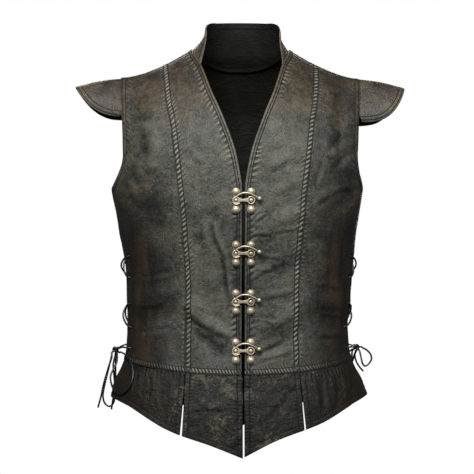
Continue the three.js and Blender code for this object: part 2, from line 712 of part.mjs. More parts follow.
// The lacing of one side, from the knot up to the top bar and down again: angle round the body in degrees
// from the centre front, height, and distance of the lace's middle from the leather's outer face.
const LACING = [
  { angle: 81, z: -474, off: 7 },
  { angle: 73.6, z: -473.2, off: 4.4 },
  { angle: 72, z: -473, off: -1 },
  { angle: 71.4, z: -470, off: -6.6 },
  { angle: 71.4, z: -457, off: -8 },
  { angle: 71.6, z: -444, off: -6.6 },
  { angle: 72, z: -441, off: -1 },
  { angle: 73.6, z: -439, off: 3.4 },
  { angle: 80, z: -432, off: 5.2 },
  { angle: 90, z: -422, off: 5.8 },
  { angle: 100, z: -412, off: 5.2 },
  { angle: 106.4, z: -405, off: 3.4 },
  { angle: 108, z: -403, off: -1 },
  { angle: 108.6, z: -400, off: -6.6 },
  { angle: 108.6, z: -383, off: -8.4 },
  { angle: 108.6, z: -366, off: -6.6 },
  { angle: 108, z: -363, off: -1 },
  { angle: 106.4, z: -361, off: 3.4 },
  { angle: 100, z: -355, off: 5.2 },
  { angle: 90, z: -346, off: 5.8 },
  { angle: 80, z: -337, off: 5.2 },
  { angle: 73.6, z: -331, off: 3.4 },
  { angle: 72, z: -329, off: -1 },
  { angle: 73.4, z: -327.5, off: -6.6 },
  { angle: 81, z: -326, off: -8.2 },
  { angle: 90, z: -326, off: -9 },
  { angle: 99, z: -326, off: -8.2 },
  { angle: 106.6, z: -327.5, off: -6.6 },
  { angle: 108, z: -329, off: -1 },
  { angle: 106.6, z: -331, off: 2.8 },
  { angle: 100, z: -337, off: 2.8 },
  { angle: 90, z: -346, off: 2.2 },
  { angle: 80, z: -355, off: 2.8 },
  { angle: 73.4, z: -361, off: 2.8 },
  { angle: 72, z: -363, off: -1 },
  { angle: 71.4, z: -366, off: -6.6 },
  { angle: 71.4, z: -383, off: -8.4 },
  { angle: 71.4, z: -400, off: -6.6 },
  { angle: 72, z: -403, off: -1 },
  { angle: 73.4, z: -405, off: 2.8 },
  { angle: 80, z: -412, off: 2.8 },
  { angle: 90, z: -422, off: 2.2 },
  { angle: 100, z: -432, off: 2.8 },
  { angle: 106.6, z: -439, off: 2.8 },
  { angle: 108, z: -441, off: -1 },
  { angle: 108.6, z: -444, off: -6.6 },
  { angle: 108.6, z: -457, off: -8 },
  { angle: 108.6, z: -470, off: -6.6 },
  { angle: 108, z: -473, off: -1 },
  { angle: 106.4, z: -473.2, off: 4.4 },
  { angle: 99, z: -474, off: 7 },
];

// Centre and radii of each knot: distance from the middle, depth and height.
const KNOTS = { right: new THREE.Vector3(199, 0, -478), left: new THREE.Vector3(185.5, 0, -475) };
const KNOT_RADII = new THREE.Vector3(5.4, 5.8, 4.8);
const KNOT_GAP = 0.32; // between the knot and the end of a lace
const LACE_TO_KNOT = [-0.3, -0.94, 0.1]; // the lacing's front end leaves the knot in this direction

// Loops and ends of the bows. Each leaves the knot in the direction "from" and passes through its points,
// and a loop comes back to the knot from the direction "to": distance from the middle, depth, height.
const BOW_RIGHT = [
  {
    part: "loop_front",
    from: [-0.6, -0.62, -0.5],
    to: [-0.25, -0.62, -0.74],
    points: [
      [190, -20, -481], [179, -45, -486], [171, -62, -498], [169, -72, -513],
      [173, -76, -528], [182, -70, -539], [191, -59, -543], [200, -44, -538],
      [205, -32, -528], [206, -25, -518], [202, -20, -508], [197, -15, -498],
    ],
  },
  {
    part: "loop_back",
    from: [0.62, 0.62, -0.48],
    to: [0.05, 0.66, -0.75],
    points: [
      [206, 9, -488], [212, 10, -514], [218, 10, -539], [220, 10, -554],
      [217, 9, -565], [210, 8, -570], [204, 9, -566], [201, 11, -554],
      [200, 11, -535], [200, 10, -510],
    ],
  },
  {
    part: "end_front",
    from: [0.72, -0.3, -0.62],
    points: [[205, -5, -489], [210, -7, -505], [215, -8, -522], [219, -8, -537], [222, -8, -552], [227, -8, -570]],
  },
  {
    part: "end_back",
    from: [0.1, 0, -1],
    points: [
      [200, 0, -488], [203, -2, -502], [202, -2, -517], [201, -1, -532],
      [202, 0, -547], [204, 1, -560], [206, 0, -574],
    ],
  },
];
const BOW_LEFT = [
  {
    part: "loop_front",
    from: [0.9, -0.4, 0],
    to: [0.5, -0.6, -0.62],
    points: [
      [195, -7, -476], [202, -8, -480], [208, -9, -487], [209, -10, -494],
      [205, -11, -501], [199, -12, -505], [195, -13, -502], [193, -12, -495],
    ],
  },
  {
    part: "loop_back",
    from: [0.2, 0.75, -0.62],
    to: [-0.1, 0.9, -0.35],
    points: [
      [185, 18, -488], [184, 36, -500], [180, 50, -510], [176, 60, -519], [173, 68, -523],
      [167, 70, -515], [168, 60, -503], [173, 47, -492], [179, 30, -484], [183, 15, -479],
    ],
  },
  {
    part: "end_front",
    from: [-0.1, 0.1, -1],
    points: [[184, 5, -489], [187, 7, -500], [192, 8, -508], [198, 8, -515]],
  },
  {
    part: "end_back",
    from: [-0.5, 0.6, -0.62],
    points: [[180, 11, -487], [181, 13, -502], [184, 14, -518]],
  },
];

// A point at some distance from the knot's surface, in a direction that is mirrored for the right side.
function nearKnot(word, side, direction, distance) {
  const way = new THREE.Vector3(...direction).normalize();
  const radius = 1 / way.clone().divide(KNOT_RADII).length();
  const point = way.multiplyScalar(radius + distance).add(KNOTS[word]);
  return point.setX(side * point.x);
}

function bowRoute(word, side, { from, to, points }) {
  const route = [nearKnot(word, side, from, KNOT_GAP), nearKnot(word, side, from, 4)];
  for (const [x, y, z] of points) route.push(new THREE.Vector3(side * x, y, z));
  if (to) route.push(nearKnot(word, side, to, 4), nearKnot(word, side, to, KNOT_GAP));
  return route;
}

function knotGeometry() {
  const ball = new THREE.SphereGeometry(1, 10, 6);
  return ball.scale(KNOT_RADII.x, KNOT_RADII.y, KNOT_RADII.z);
}

// ---------------------------------------------------------------------------------------------------------
// Swing clasps
// ---------------------------------------------------------------------------------------------------------
// A clasp is drawn flat, with x to the wearer's left, y up and z away from the leather.
const CLASP_HEIGHTS = [-244, -324, -398, -473];
const PLATE_X = 11.4; // from the middle of the garment to a plate's middle
const PLATE_THICK = 1.5;
const PLATE_LIFT = 0.5; // above the leather
const LOBE_RADIUS = 6.2;
const LOBE_Y = 13.6;
const WAIST_HALF = 5;
const HOOK_LIFT = PLATE_THICK + 0.35;
const HOOK_THICK = 1.8;

// A plate's outline has a round lobe at each end and one in the middle.
function plateShape() {
  const shape = new THREE.Shape();
  const arc = (cy, from, to, radius) => shape.absarc(0, cy, radius, from * RAD, to * RAD, false);
  arc(-LOBE_Y, 150, 390, LOBE_RADIUS);
  shape.lineTo(WAIST_HALF - 0.6, -7);
  arc(0, -50, 50, LOBE_RADIUS - 0.4);
  shape.lineTo(WAIST_HALF - 0.6, 7);
  arc(LOBE_Y, -30, 210, LOBE_RADIUS);
  shape.lineTo(0.6 - WAIST_HALF, 7);
  arc(0, 130, 230, LOBE_RADIUS - 0.4);
  shape.lineTo(0.6 - WAIST_HALF, -7);
  shape.closePath();
  return shape;
}

const extruded = (shape, depth, curveSegments = 4) =>
  new THREE.ExtrudeGeometry(shape, { depth, bevelEnabled: false, curveSegments });

// A turned solid on the z axis, from a profile of radius and height.
function turned(profile, sides) {
  const points = profile.map(([radius, height]) => new THREE.Vector2(radius, height));
  return new THREE.LatheGeometry(points, sides).rotateX(Math.PI / 2);
}

const rivet = (radius, height) =>
  turned([
    [0, -0.8], [radius, -0.8], [radius * 0.76, height * 0.76], [0, height],
  ], 8);

function plateSolid(middle) {
  const parts = [solidOf(extruded(plateShape(), PLATE_THICK))];
  for (const y of [-LOBE_Y, LOBE_Y]) parts.push(solidOf(rivet(4.3, 2.6), moved(0, y, PLATE_THICK)));
  parts.push(solidOf(middle, moved(0, 0, PLATE_THICK)));
  return joined(parts);
}

const pivotPin = () =>
  turned([
    [0, -0.8], [2.6, -0.8], [2.6, 2.6], [0, 4],
  ], 8);
const catchPost = () =>
  turned([
    [0, -0.8], [2.2, -0.8], [2.2, 2.8], [2.8, 4], [0, 5.2],
  ], 8);

const ring = (outer, inner) => {
  const shape = new THREE.Shape();
  shape.absarc(0, 0, outer, 0, 2 * Math.PI, false);
  const hole = new THREE.Path();
  hole.absarc(0, 0, inner, 0, 2 * Math.PI, true);
  shape.holes.push(hole);
  return extruded(shape, HOOK_THICK, 6);
};

const LEVER_SECTION = [[1, 0], [0.5, 0.87], [-0.5, 0.87], [-1, 0], [-0.5, -0.87], [0.5, -0.87]];

// The arm that swings from the pivot: two rings, the narrow link between them, and a bowed lever that ends
// in a ball.
function hookSolid() {
  const link = new THREE.Shape();
  link.moveTo(-PLATE_X + 3.6, -3.6);
  link.quadraticCurveTo(0, 0.4, PLATE_X - 3.4, -3.8);
  link.lineTo(PLATE_X - 3.4, 3.8);
  link.quadraticCurveTo(0, 0.6, -PLATE_X + 3.6, 3.6);
  link.closePath();
  const lever = new THREE.ExtrudeGeometry(
    new THREE.Shape(LEVER_SECTION.map(([x, y]) => new THREE.Vector2(x, y))),
    {
      steps: 7,
      bevelEnabled: false,
      extrudePath: new THREE.CatmullRomCurve3([
        new THREE.Vector3(-PLATE_X - 1, 4.2, HOOK_LIFT + 1),
        new THREE.Vector3(-PLATE_X + 4, 9.4, HOOK_LIFT + 1.6),
        new THREE.Vector3(-1, 12.4, HOOK_LIFT + 3),
        new THREE.Vector3(8, 12, HOOK_LIFT + 4.6),
        new THREE.Vector3(17, 7.6, HOOK_LIFT + 3.6),
        new THREE.Vector3(21.4, 4.2, HOOK_LIFT + 2.4),
      ]),
    },
  );
  return joined([
    solidOf(ring(5.2, 3.1), moved(-PLATE_X, 0, HOOK_LIFT)),
    solidOf(ring(5.4, 3.3), moved(PLATE_X, 0, HOOK_LIFT)),
    solidOf(extruded(link, HOOK_THICK, 4), moved(0, 0, HOOK_LIFT)),
    solidOf(lever),
    solidOf(new THREE.SphereGeometry(2.8, 8, 6), moved(22, 3.8, HOOK_LIFT + 2.4)),
  ]);
}

// ---------------------------------------------------------------------------------------------------------
// Assembly
// ---------------------------------------------------------------------------------------------------------
const leather = (colour) => new THREE.MeshStandardMaterial({ color: colour, roughness: 0.55, metalness: 0 });
const OUTER_LEATHER = leather(0x3b3a35);
const BACK_LEATHER = leather(0x33322d);
const LACE_LEATHER = leather(0x14130f);
const BRASS = new THREE.MeshStandardMaterial({ color: 0xa78f66, roughness: 0.35, metalness: 0.95 });

const jerkin = new THREE.Group();
jerkin.name = "jerkin";

function add(name, geometry, material, parent = jerkin) {
  const mesh = new THREE.Mesh(geometry, material);
  mesh.name = name;
  parent.add(mesh);
}

const SIDES = [
  { word: "right", sign: -1, bow: BOW_RIGHT },
  { word: "left", sign: 1, bow: BOW_LEFT },
];

let backPanel = back();
for (const { word, sign, bow } of SIDES) {
  add(`front_centre_${word}`, frontCentre(sign), OUTER_LEATHER);
  add(`front_side_${word}`, punched(frontSide(sign), sign, EYELET_FRONT), OUTER_LEATHER);
  add(`front_tab_${word}`, frontTab(sign), OUTER_LEATHER);
  add(`side_tab_${word}`, sideTab(sign), OUTER_LEATHER);
  add(`wing_${word}`, wing(sign, WINGS[word]), OUTER_LEATHER);
  backPanel = punched(backPanel, sign, EYELET_BACK);

  const route = LACING.map(({ angle, z, off }) => overSurface(sign * angle, z, off));
  const [x, y, z] = LACE_TO_KNOT;
  const knotEnd = (depth, distance) => nearKnot(word, sign, [x, depth, z], distance);
  route.unshift(knotEnd(y, KNOT_GAP), knotEnd(y, 3));
  route.push(knotEnd(-y, 3), knotEnd(-y, KNOT_GAP));
  add(`lacing_${word}`, cordGeometry(route, 1), LACE_LEATHER);
  const centre = KNOTS[word];
  add(`knot_${word}`, knotGeometry().translate(sign * centre.x, centre.y, centre.z), LACE_LEATHER);
  for (const lace of bow) {
    add(`bow_${lace.part}_${word}`, cordGeometry(bowRoute(word, sign, lace), 1.6), LACE_LEATHER);
  }
}
add("back", backPanel, BACK_LEATHER);
add("basque_back", backBasque(), BACK_LEATHER);
add("collar", collar(), OUTER_LEATHER);

CLASP_HEIGHTS.forEach((z, index) => {
  const middle = overSurface(0, z, PLATE_LIFT);
  const above = overSurface(0, z + 20, PLATE_LIFT);
  const below = overSurface(0, z - 20, PLATE_LIFT);
  const clasp = new THREE.Group();
  clasp.position.copy(middle);
  clasp.rotation.x = Math.atan2(above.z - below.z, above.y - below.y);
  const number = index + 1;
  for (const { word, sign } of SIDES) {
    const middlePart = sign < 0 ? pivotPin() : catchPost();
    const plate = geometryOf(plateSolid(middlePart)).translate(sign * PLATE_X, 0, 0);
    add(`clasp_${number}_plate_${word}`, plate, BRASS, clasp);
  }
  add(`clasp_${number}_hook`, geometryOf(hookSolid()), BRASS, clasp);
  jerkin.add(clasp);
});

export default jerkin;
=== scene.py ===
"""A leather jerkin with a stand collar, shoulder wings, swing clasps, a tabbed basque and laced sides.

The garment's own sizes are millimetres, in the frame of the model: +Z is up, the front faces -Y, +X is the
wearer's left, and the origin lies midway between the side neck points. Meshes are built in metres.
"""

from __future__ import annotations

import logging
import math
from dataclasses import dataclass, field, replace
from enum import Enum
from typing import Callable, Iterable, NamedTuple, Sequence

import bpy
import bmesh
import numpy as np
from mathutils import Matrix, Vector
from mathutils.bvhtree import BVHTree

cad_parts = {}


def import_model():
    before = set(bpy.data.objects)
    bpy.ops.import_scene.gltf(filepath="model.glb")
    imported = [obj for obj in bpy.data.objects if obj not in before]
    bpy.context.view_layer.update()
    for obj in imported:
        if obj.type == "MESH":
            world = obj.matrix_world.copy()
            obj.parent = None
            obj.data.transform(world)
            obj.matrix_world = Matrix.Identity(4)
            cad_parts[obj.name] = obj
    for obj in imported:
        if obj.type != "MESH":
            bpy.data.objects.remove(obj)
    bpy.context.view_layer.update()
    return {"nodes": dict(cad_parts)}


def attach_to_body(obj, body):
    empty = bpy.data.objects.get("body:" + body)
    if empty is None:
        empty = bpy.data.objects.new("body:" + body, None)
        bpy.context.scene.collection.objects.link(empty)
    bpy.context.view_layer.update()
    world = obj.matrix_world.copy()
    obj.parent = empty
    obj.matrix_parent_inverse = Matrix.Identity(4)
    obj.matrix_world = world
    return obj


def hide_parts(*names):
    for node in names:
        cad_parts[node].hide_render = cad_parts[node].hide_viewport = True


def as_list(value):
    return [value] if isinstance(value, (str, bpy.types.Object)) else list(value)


LOG = logging.getLogger("jerkin")
MM = 0.001
BODY = "root"
Array = np.ndarray
Point = tuple[float, float, float]
Span = tuple[float, float]


# --- Sizes of the garment's form ---
WALL = 2.0
SEAM_GAP = 0.32
NECK_HALF = 77.0
NECK_BACK_DROP = 22.0
ARMHOLE_ANGLE = 63.0
UNDERARM = -221.0
ARMHOLE_CURVE = 56.0
FRONT_GAP = 2.4
TAB_GAP = 1.2
V_BOTTOM = -219.0
LACE_TOP = -300.0
LACE_GAP_ANGLE = 9.0
EYELET_ANGLE = 18.0
EYELET_RADIUS = 3.2
EYELET_ROWS = (-329.0, -363.0, -403.0, -441.0, -473.0)
WAIST_SIDE = -493.0
WAIST_DIP = 16.0
SLIT_TOP = 0.32
SLIT_HEM = 2.9
ROUNDNESS = 2.2
SHOULDER_ROLL = 160.0
SHOULDER_ROUNDNESS = 1.6
SHOULDER_ROW = 0.0025
LEVEL_BELOW = 220.0
LOW_LEVEL = -440.0


class Section(NamedTuple):
    """A horizontal section: half width, depth before and behind the side line, shift of the side lines."""

    z: float
    half: float
    front: float
    back: float
    shift: float


class ShoulderPoint(NamedTuple):
    """Height of the shoulder line at a distance from the middle, for the front and the back cloth."""

    x: float
    front: float
    back: float


class HemPoint(NamedTuple):
    """Height of the hem at a distance from the middle."""

    x: float
    front_right: float
    front_left: float
    back: float


class Fold(NamedTuple):
    """A large fold over the front or back, along a line, with its reach to either side and its rise."""

    back: bool
    x0: float
    z0: float
    x1: float
    z1: float
    reach: float
    rise: float


SECTIONS = tuple(
    Section(*row)
    for row in (
        (60, 212, 100, 90, 0), (0, 212, 106, 96, 0), (-60, 211, 114, 114, 0), (-120, 207, 124, 127, -1),
        (-175, 204, 129, 130, -2), (-221, 200, 131, 127, -5), (-260, 193, 131, 120, -4),
        (-299, 187, 128, 112, -4), (-330, 183, 124, 106, -3), (-365, 180, 120, 102, -3),
        (-400, 178, 117, 101, -4), (-450, 177, 116, 104, -5), (-478, 179, 117, 108, -5),
        (-503, 186, 119, 114, -4), (-528, 199, 124, 124, -3), (-555, 206, 130, 134, -1),
        (-600, 214, 136, 143, 0), (-640, 220, 139, 148, 0),
    )
)
SHOULDER_LINE = tuple(
    ShoulderPoint(*row)
    for row in (
        (0, 54.8, 58), (20, 39.3, 54), (40, 24.6, 42), (58, 12.2, 24), (70, 4.4, 9.5), (77, 0, 0),
        (90, -7.8, -7.8), (106, -16.7, -16.7), (134, -30.2, -30.2), (160, -40, -40), (189, -46, -46),
        (215, -49, -49),
    )
)
V_NECK = (
    (0, 77), (-10, 73.5), (-28, 64), (-74, 47.7), (-104, 35), (-123, 27.6), (-156, 15.7), (-182, 9),
    (V_BOTTOM, FRONT_GAP),
)
PRINCESS = (
    (-26, 125), (-89, 118), (-122, 111.5), (-178, 104.5), (-252, 96), (-339, 89), (-383, 86.8),
    (-470, 87.2), (-508, 88), (-598, 95),
)
HEM = tuple(
    HemPoint(*row)
    for row in (
        (0, -634, -632, -622), (50, -614.5, -607.5, -600), (97, -599.5, -591.5, -580),
        (125, -588, -581.5, -573.5), (157, -570, -565.5, -566), (178, -559, -555.5, -561),
        (210, -549, -546, -553),
    )
)
# Each row of the next two tables is a fold's x0, z0, x1, z1, reach and rise.
FRONT_FOLDS = (
    (-50, -270, -30, -372, 13, -3.2), (-68, -262, -52, -370, 14, 2.4), (-78, -405, -34, -452, 13, 2.8),
    (-82, -432, -40, -478, 12, -2.6), (36, -286, 84, -262, 12, 2.4), (34, -362, 84, -338, 13, -2.4),
    (40, -438, 92, -402, 14, 2.6), (38, -472, 88, -446, 12, -2.4), (138, -70, 134, -170, 13, 3.2),
    (158, -80, 154, -180, 13, -2.8), (-140, -90, -134, -190, 15, 2.6), (-158, -250, -122, -292, 16, -2.6),
    (160, -236, 120, -300, 16, -2.8), (-160, -398, -112, -384, 14, 2.6), (-160, -428, -108, -420, 14, -2.6),
    (160, -404, 112, -392, 14, 2.6), (162, -436, 112, -424, 14, -2.6),
)
BACK_FOLDS = (
    (-150, -130, -60, -330, 24, 3), (150, -130, 66, -320, 24, 3), (-120, -382, 110, -378, 16, -3),
    (-100, -412, 120, -416, 16, 3), (-130, -446, 100, -444, 15, -3), (0, -70, 0, -300, 30, -4),
)
FOLDS = [Fold(back, *row) for back, rows in ((False, FRONT_FOLDS), (True, BACK_FOLDS)) for row in rows]


# --- Objects, curves, noise and the torso form ---
def placed(name: str, data: bpy.types.ID) -> bpy.types.Object:
    """Return a new object that is in the scene."""
    item = bpy.data.objects.new(name, data)
    bpy.context.scene.collection.objects.link(item)
    return item


def stand_for(item: bpy.types.Object, node: str) -> bpy.types.Object:
    """Put a piece on the body in the place of a solid, and return it."""
    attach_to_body(item, BODY)
    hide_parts(node)
    return item


class Curve:
    """A smooth curve through pairs of key and value, level beyond its ends."""

    def __init__(self, pairs: Iterable[tuple[float, float]]) -> None:
        """Sort the pairs and work out the slope at each.

        Args:
            pairs: Key and value of each point.
        """
        rows = sorted((float(key), float(value)) for key, value in pairs)
        self.keys = np.array([key for key, _ in rows])
        self.values = np.array([value for _, value in rows])
        before = np.maximum(np.arange(len(rows)) - 1, 0)
        after = np.minimum(np.arange(len(rows)) + 1, len(rows) - 1)
        self.slopes = (self.values[after] - self.values[before]) / (self.keys[after] - self.keys[before])

    def __call__(self, at: Array | float) -> Array:
        """Read the curve.

        Args:
            at: Keys to read it at.

        Returns:
            The values there.
        """
        at = np.clip(at, self.keys[0], self.keys[-1])
        i = np.clip(np.searchsorted(self.keys, at, side="right") - 1, 0, len(self.keys) - 2)
        step = self.keys[i + 1] - self.keys[i]
        t = (at - self.keys[i]) / step
        t2, t3 = t * t, t * t * t
        return (
            (2 * t3 - 3 * t2 + 1) * self.values[i]
            + (t3 - 2 * t2 + t) * step * self.slopes[i]
            + (3 * t2 - 2 * t3) * self.values[i + 1]
            + (t3 - t2) * step * self.slopes[i + 1]
        )


def mix(low: Array | float, high: Array | float, share: Array | float) -> Array | float:
    """Return the value at a share of the way from low to high."""
    return low + (high - low) * share


def smooth(low: float, high: float, value: Array) -> Array:
    """Return 0 below low, 1 above high, and a smooth rise between them."""
    t = np.clip((value - low) / (high - low), 0, 1)
    return t * t * (3 - 2 * t)


def hump(distance: Array, reach: float) -> Array:
    """Return a soft hump that is 1 at distance 0 and has died away at about twice its reach."""
    return np.exp(-((distance / reach) ** 2))


def unit(vectors: Array) -> Array:
    """Return the vectors at length 1."""
    return vectors / np.maximum(np.linalg.norm(vectors, axis=-1, keepdims=True), 1e-9)


class Noise:
    """Smooth random values over space, the same on every run."""

    MASK = 0xFFFFFFFF

    def __init__(self, seed: int) -> None:
        """Keep the seed.

        Args:
            seed: Number that tells one pattern from another.
        """
        self.seed = seed

    def _corner(self, cell: Array) -> Array:
        """Return a random value from -1 to 1 for each whole-number cell."""
        h = cell[..., 0] * 374761393 + cell[..., 1] * 668265263 + cell[..., 2] * 1440662683
        h = (h + self.seed * 362437) & self.MASK
        h = ((h ^ (h >> 13)) * 1274126177) & self.MASK
        h = ((h ^ (h >> 16)) * 2246822519) & self.MASK
        return ((h ^ (h >> 15)) & self.MASK) / (self.MASK / 2) - 1

    def __call__(self, points: Array, size: float | Sequence[float]) -> Array:
        """Read the noise.

        Args:
            points: Places, in millimetres.
            size: Size of its lumps, in all directions or along X, Y and Z.

        Returns:
            A value from -1 to 1 for each place.
        """
        scaled = points / np.asarray(size, dtype=float) + 1000.5
        cell = np.floor(scaled).astype(np.int64)
        part = scaled - cell
        ease = part * part * (3 - 2 * part)
        total = np.zeros(points.shape[:-1])
        for corner in range(8):
            offset = np.array([corner & 1, corner >> 1 & 1, corner >> 2 & 1])
            weight = np.prod(np.where(offset == 1, ease, 1 - ease), axis=-1)
            total += weight * self._corner(cell + offset)
        return total

    def crumple(self, points: Array, size: float | Sequence[float], sharp: float = 0.7) -> Array:
        """Return rounded pads between sharp creases, about 0 on average."""
        warp = np.stack([self(points + shift, 34.0) for shift in (11.0, 47.0, 83.0)], axis=-1) * 8
        return np.abs(self(points + warp, size)) ** sharp - 0.42


class TorsoForm:
    """The garment's outer surface, by angle round the body and row below the shoulder seam."""

    def __init__(self) -> None:
        """Turn the tables of sizes into curves."""
        self.half = Curve((s.z, s.half) for s in SECTIONS)
        self.front = Curve((s.z, s.front) for s in SECTIONS)
        self.back = Curve((s.z, s.back) for s in SECTIONS)
        self.shift = Curve((s.z, s.shift) for s in SECTIONS)
        self.shoulder_front = Curve((p.x, p.front) for p in SHOULDER_LINE)
        self.shoulder_back = Curve((p.x, p.back) for p in SHOULDER_LINE)
        self.hems = {name: Curve((p.x, getattr(p, name)) for p in HEM) for name in HemPoint._fields[1:]}
        self.v_neck = Curve(V_NECK)
        self.princess_line = Curve(PRINCESS)
        angles = np.linspace(math.pi / 2, math.pi, 400)
        self._neck_angles, self._neck_rows = angles, self._back_neck_rows(angles)

    @staticmethod
    def level_of(row: Array) -> Array:
        """Return how far below the shoulder seam a row lies, as a negative height."""
        high = -SHOULDER_ROLL * np.maximum(row, 0) ** SHOULDER_ROUNDNESS
        return np.where(row < 1, high, -SHOULDER_ROLL * (1 + SHOULDER_ROUNDNESS * (row - 1)))

    @staticmethod
    def row_of(level: Array) -> Array:
        """Return the row of a level."""
        depth = -np.asarray(level, dtype=float) / SHOULDER_ROLL
        high = np.maximum(depth, 0) ** (1 / SHOULDER_ROUNDNESS)
        return np.where(depth < 1, high, 1 + (depth - 1) / SHOULDER_ROUNDNESS)

    def shoulder(self, x: Array, back: Array) -> Array:
        """Return the height of the shoulder line at a distance from the middle."""
        return np.where(back, self.shoulder_back(x), self.shoulder_front(x))

    def height_at(self, level: Array, x: Array, back: Array) -> Array:
        """Return the height of a row at a distance from the middle."""
        share = np.clip(1 + level / LEVEL_BELOW, 0, 1) ** 2
        return level + self.shoulder(x, back) * share

    def plain(self, angle: Array, row: Array) -> Array:
        """Return points of the surface without its folds.

        Args:
            angle: Angle round the body, 0 at the centre front and a quarter turn at the wearer's left.
            row: Row below the shoulder seam.

        Returns:
            The points, in millimetres.
        """
        sine, cosine = np.sin(angle), np.cos(angle)
        back = cosine < 0
        level = self.level_of(row)
        z = level
        for _ in range(5):
            x = self.half(z) * np.abs(sine) ** (2 / ROUNDNESS)
            z = self.height_at(level, x, back)
        fall = np.clip((self.shoulder(x, back) - z) / SHOULDER_ROLL, 0, 1)
        roll = (1 - (1 - fall) ** SHOULDER_ROUNDNESS) ** (1 / SHOULDER_ROUNDNESS)
        depth = np.where(back, self.back(z), self.front(z)) * np.abs(cosine) ** (2 / ROUNDNESS) * roll
        across = np.sign(sine) * x + self.shift(z) * sine * sine
        return np.stack([across, -np.sign(cosine) * depth, z], axis=-1)

    def normal(self, angle: Array, row: Array) -> Array:
        """Return the outward normals of the surface without its folds."""
        along = self.plain(angle + 0.002, row) - self.plain(angle - 0.002, row)
        up = self.plain(angle, np.maximum(row - 0.0006, 0)) - self.plain(angle, row + 0.0006)
        return unit(np.cross(along, up))

    def folded(self, angle: Array, row: Array) -> Array:
        """Return points of the surface with its large folds."""
        points = self.plain(angle, row)
        rise = np.zeros(points.shape[:-1])
        for fold in FOLDS:
            start, end = np.array([fold.x0, fold.z0]), np.array([fold.x1, fold.z1])
            way = end - start
            place = points[..., [0, 2]]
            share = np.clip(((place - start) @ way) / (way @ way), 0, 1)
            away = np.linalg.norm(place - start - share[..., None] * way, axis=-1)
            rise += fold.rise * hump(away, fold.reach) * ((np.cos(angle) < 0) == fold.back)
        return points + rise[..., None] * self.normal(angle, row)

    def over(self, degrees: float, z: float, off: float) -> Array:
        """Return a point at a height below the shoulders, moved out of the leather's face by off."""
        angle, row = np.array([math.radians(degrees)]), np.atleast_1d(self.row_of(z))
        points = self.folded(angle, row)
        step = self.folded(angle + 0.002, row) - self.folded(angle - 0.002, row)
        up = self.folded(angle, row - 0.0006) - self.folded(angle, row + 0.0006)
        return (points + off * unit(np.cross(step, up)))[0]

    def angle_for(self, x: Array, z: Array) -> Array:
        """Return the angle where the section at a height is x from the middle."""
        return np.arcsin(np.clip(x / self.half(z), 0, 1) ** (ROUNDNESS / 2))

    def line_angle(self, line: Curve, level: Array) -> Array:
        """Return the angle where a line over the front crosses a level."""
        z = level
        for _ in range(12):
            x = line(z)
            z = self.height_at(level, x, np.zeros(np.shape(x), dtype=bool))
        return self.angle_for(x, z)

    def neck_edge(self, level: Array) -> Array:
        """Return the angle of the front edge: the V neck and the opening below it."""
        return self.line_angle(self.v_neck, level)

    def princess(self, level: Array) -> Array:
        """Return the angle of the princess seam."""
        return self.line_angle(self.princess_line, level)

    def side_edge(self, level: Array) -> Array:
        """Return the angle of a panel's side: laced opening, side seam, then armhole."""
        gap = 0.08
        turn = np.clip((UNDERARM + ARMHOLE_CURVE - level) / ARMHOLE_CURVE, 0, 1)
        armhole = mix(ARMHOLE_ANGLE, 90 - gap, 1 - np.sqrt(1 - turn * turn))
        opening = np.clip((LACE_TOP - level) / 55, 0, 1)
        laced = 90 - gap - LACE_GAP_ANGLE * opening * (2 - opening)
        return np.radians(np.where(level > UNDERARM, armhole, laced))

    @staticmethod
    def waist_seam(angle: Array) -> Array:
        """Return the height of the waist seam."""
        return WAIST_SIDE - WAIST_DIP * np.cos(angle) ** 2

    def hem(self, angle: Array) -> Array:
        """Return the height of the hem."""
        z = np.full(np.shape(angle), -600.0)
        for _ in range(6):
            x = self.half(z) * np.abs(np.sin(angle)) ** (2 / ROUNDNESS)
            front = np.where(np.sin(angle) < 0, self.hems["front_right"](x), self.hems["front_left"](x))
            z = np.where(np.cos(angle) < 0, self.hems["back"](x), front)
        return z

    def _back_neck_rows(self, angles: Array) -> Array:
        """Return the row of the back neckline at angles from the side to the centre back."""
        high, low = np.zeros_like(angles), np.ones_like(angles)
        for _ in range(30):
            middle = (high + low) / 2
            point = self.plain(angles, middle)
            share = np.abs(point[..., 0]) / NECK_HALF
            above = (share >= 1) | (point[..., 2] > -NECK_BACK_DROP * (1 - share**3))
            high, low = np.where(above, middle, high), np.where(above, low, middle)
        outside = np.abs(self.plain(angles, np.zeros_like(angles))[..., 0]) >= NECK_HALF
        return np.where(outside, SHOULDER_ROW, np.maximum(SHOULDER_ROW, low))

    def back_neck_row(self, angle: Array) -> Array:
        """Return the row of the back neckline, or of the shoulder seam outside the neck."""
        from_side = np.where(angle > math.pi, 2 * math.pi - angle, angle)
        return np.interp(from_side, self._neck_angles, self._neck_rows)


FORM = TorsoForm()


# --- Sheets of leather ---
class Edge(Enum):
    """The four edges of a sheet."""

    LEFT = "left"
    RIGHT = "right"
    FOOT = "foot"
    HEAD = "head"


@dataclass(frozen=True)
class Sewing:
    """How an edge is turned and sewn, in millimetres from the edge."""

    band: float = 8.0  # width of the raised, folded allowance
    rise: float = 0.7  # how far it stands up
    rows: tuple[float, ...] = (8.0,)  # distance of each row of stitches
    pucker: float = 0.45  # height of the puckers on the allowance
    beyond: float = 0.3  # height of the puckers on the leather beyond it
    reach: float = 10.0  # how far those run
    pitch: float = 4.6  # from one pucker to the next
    roll: float = 0.4  # how far the very edge turns down
    slant: float = 0.0  # how far a pucker leans along the edge for each millimetre across it
    shade: float = 0.0  # how much painted shade the band takes between its puckers
    bare: float = 1.0  # how much of the edge is free and rubbed
    below: float = 100.0  # the puckers are full below this height, and slight above it


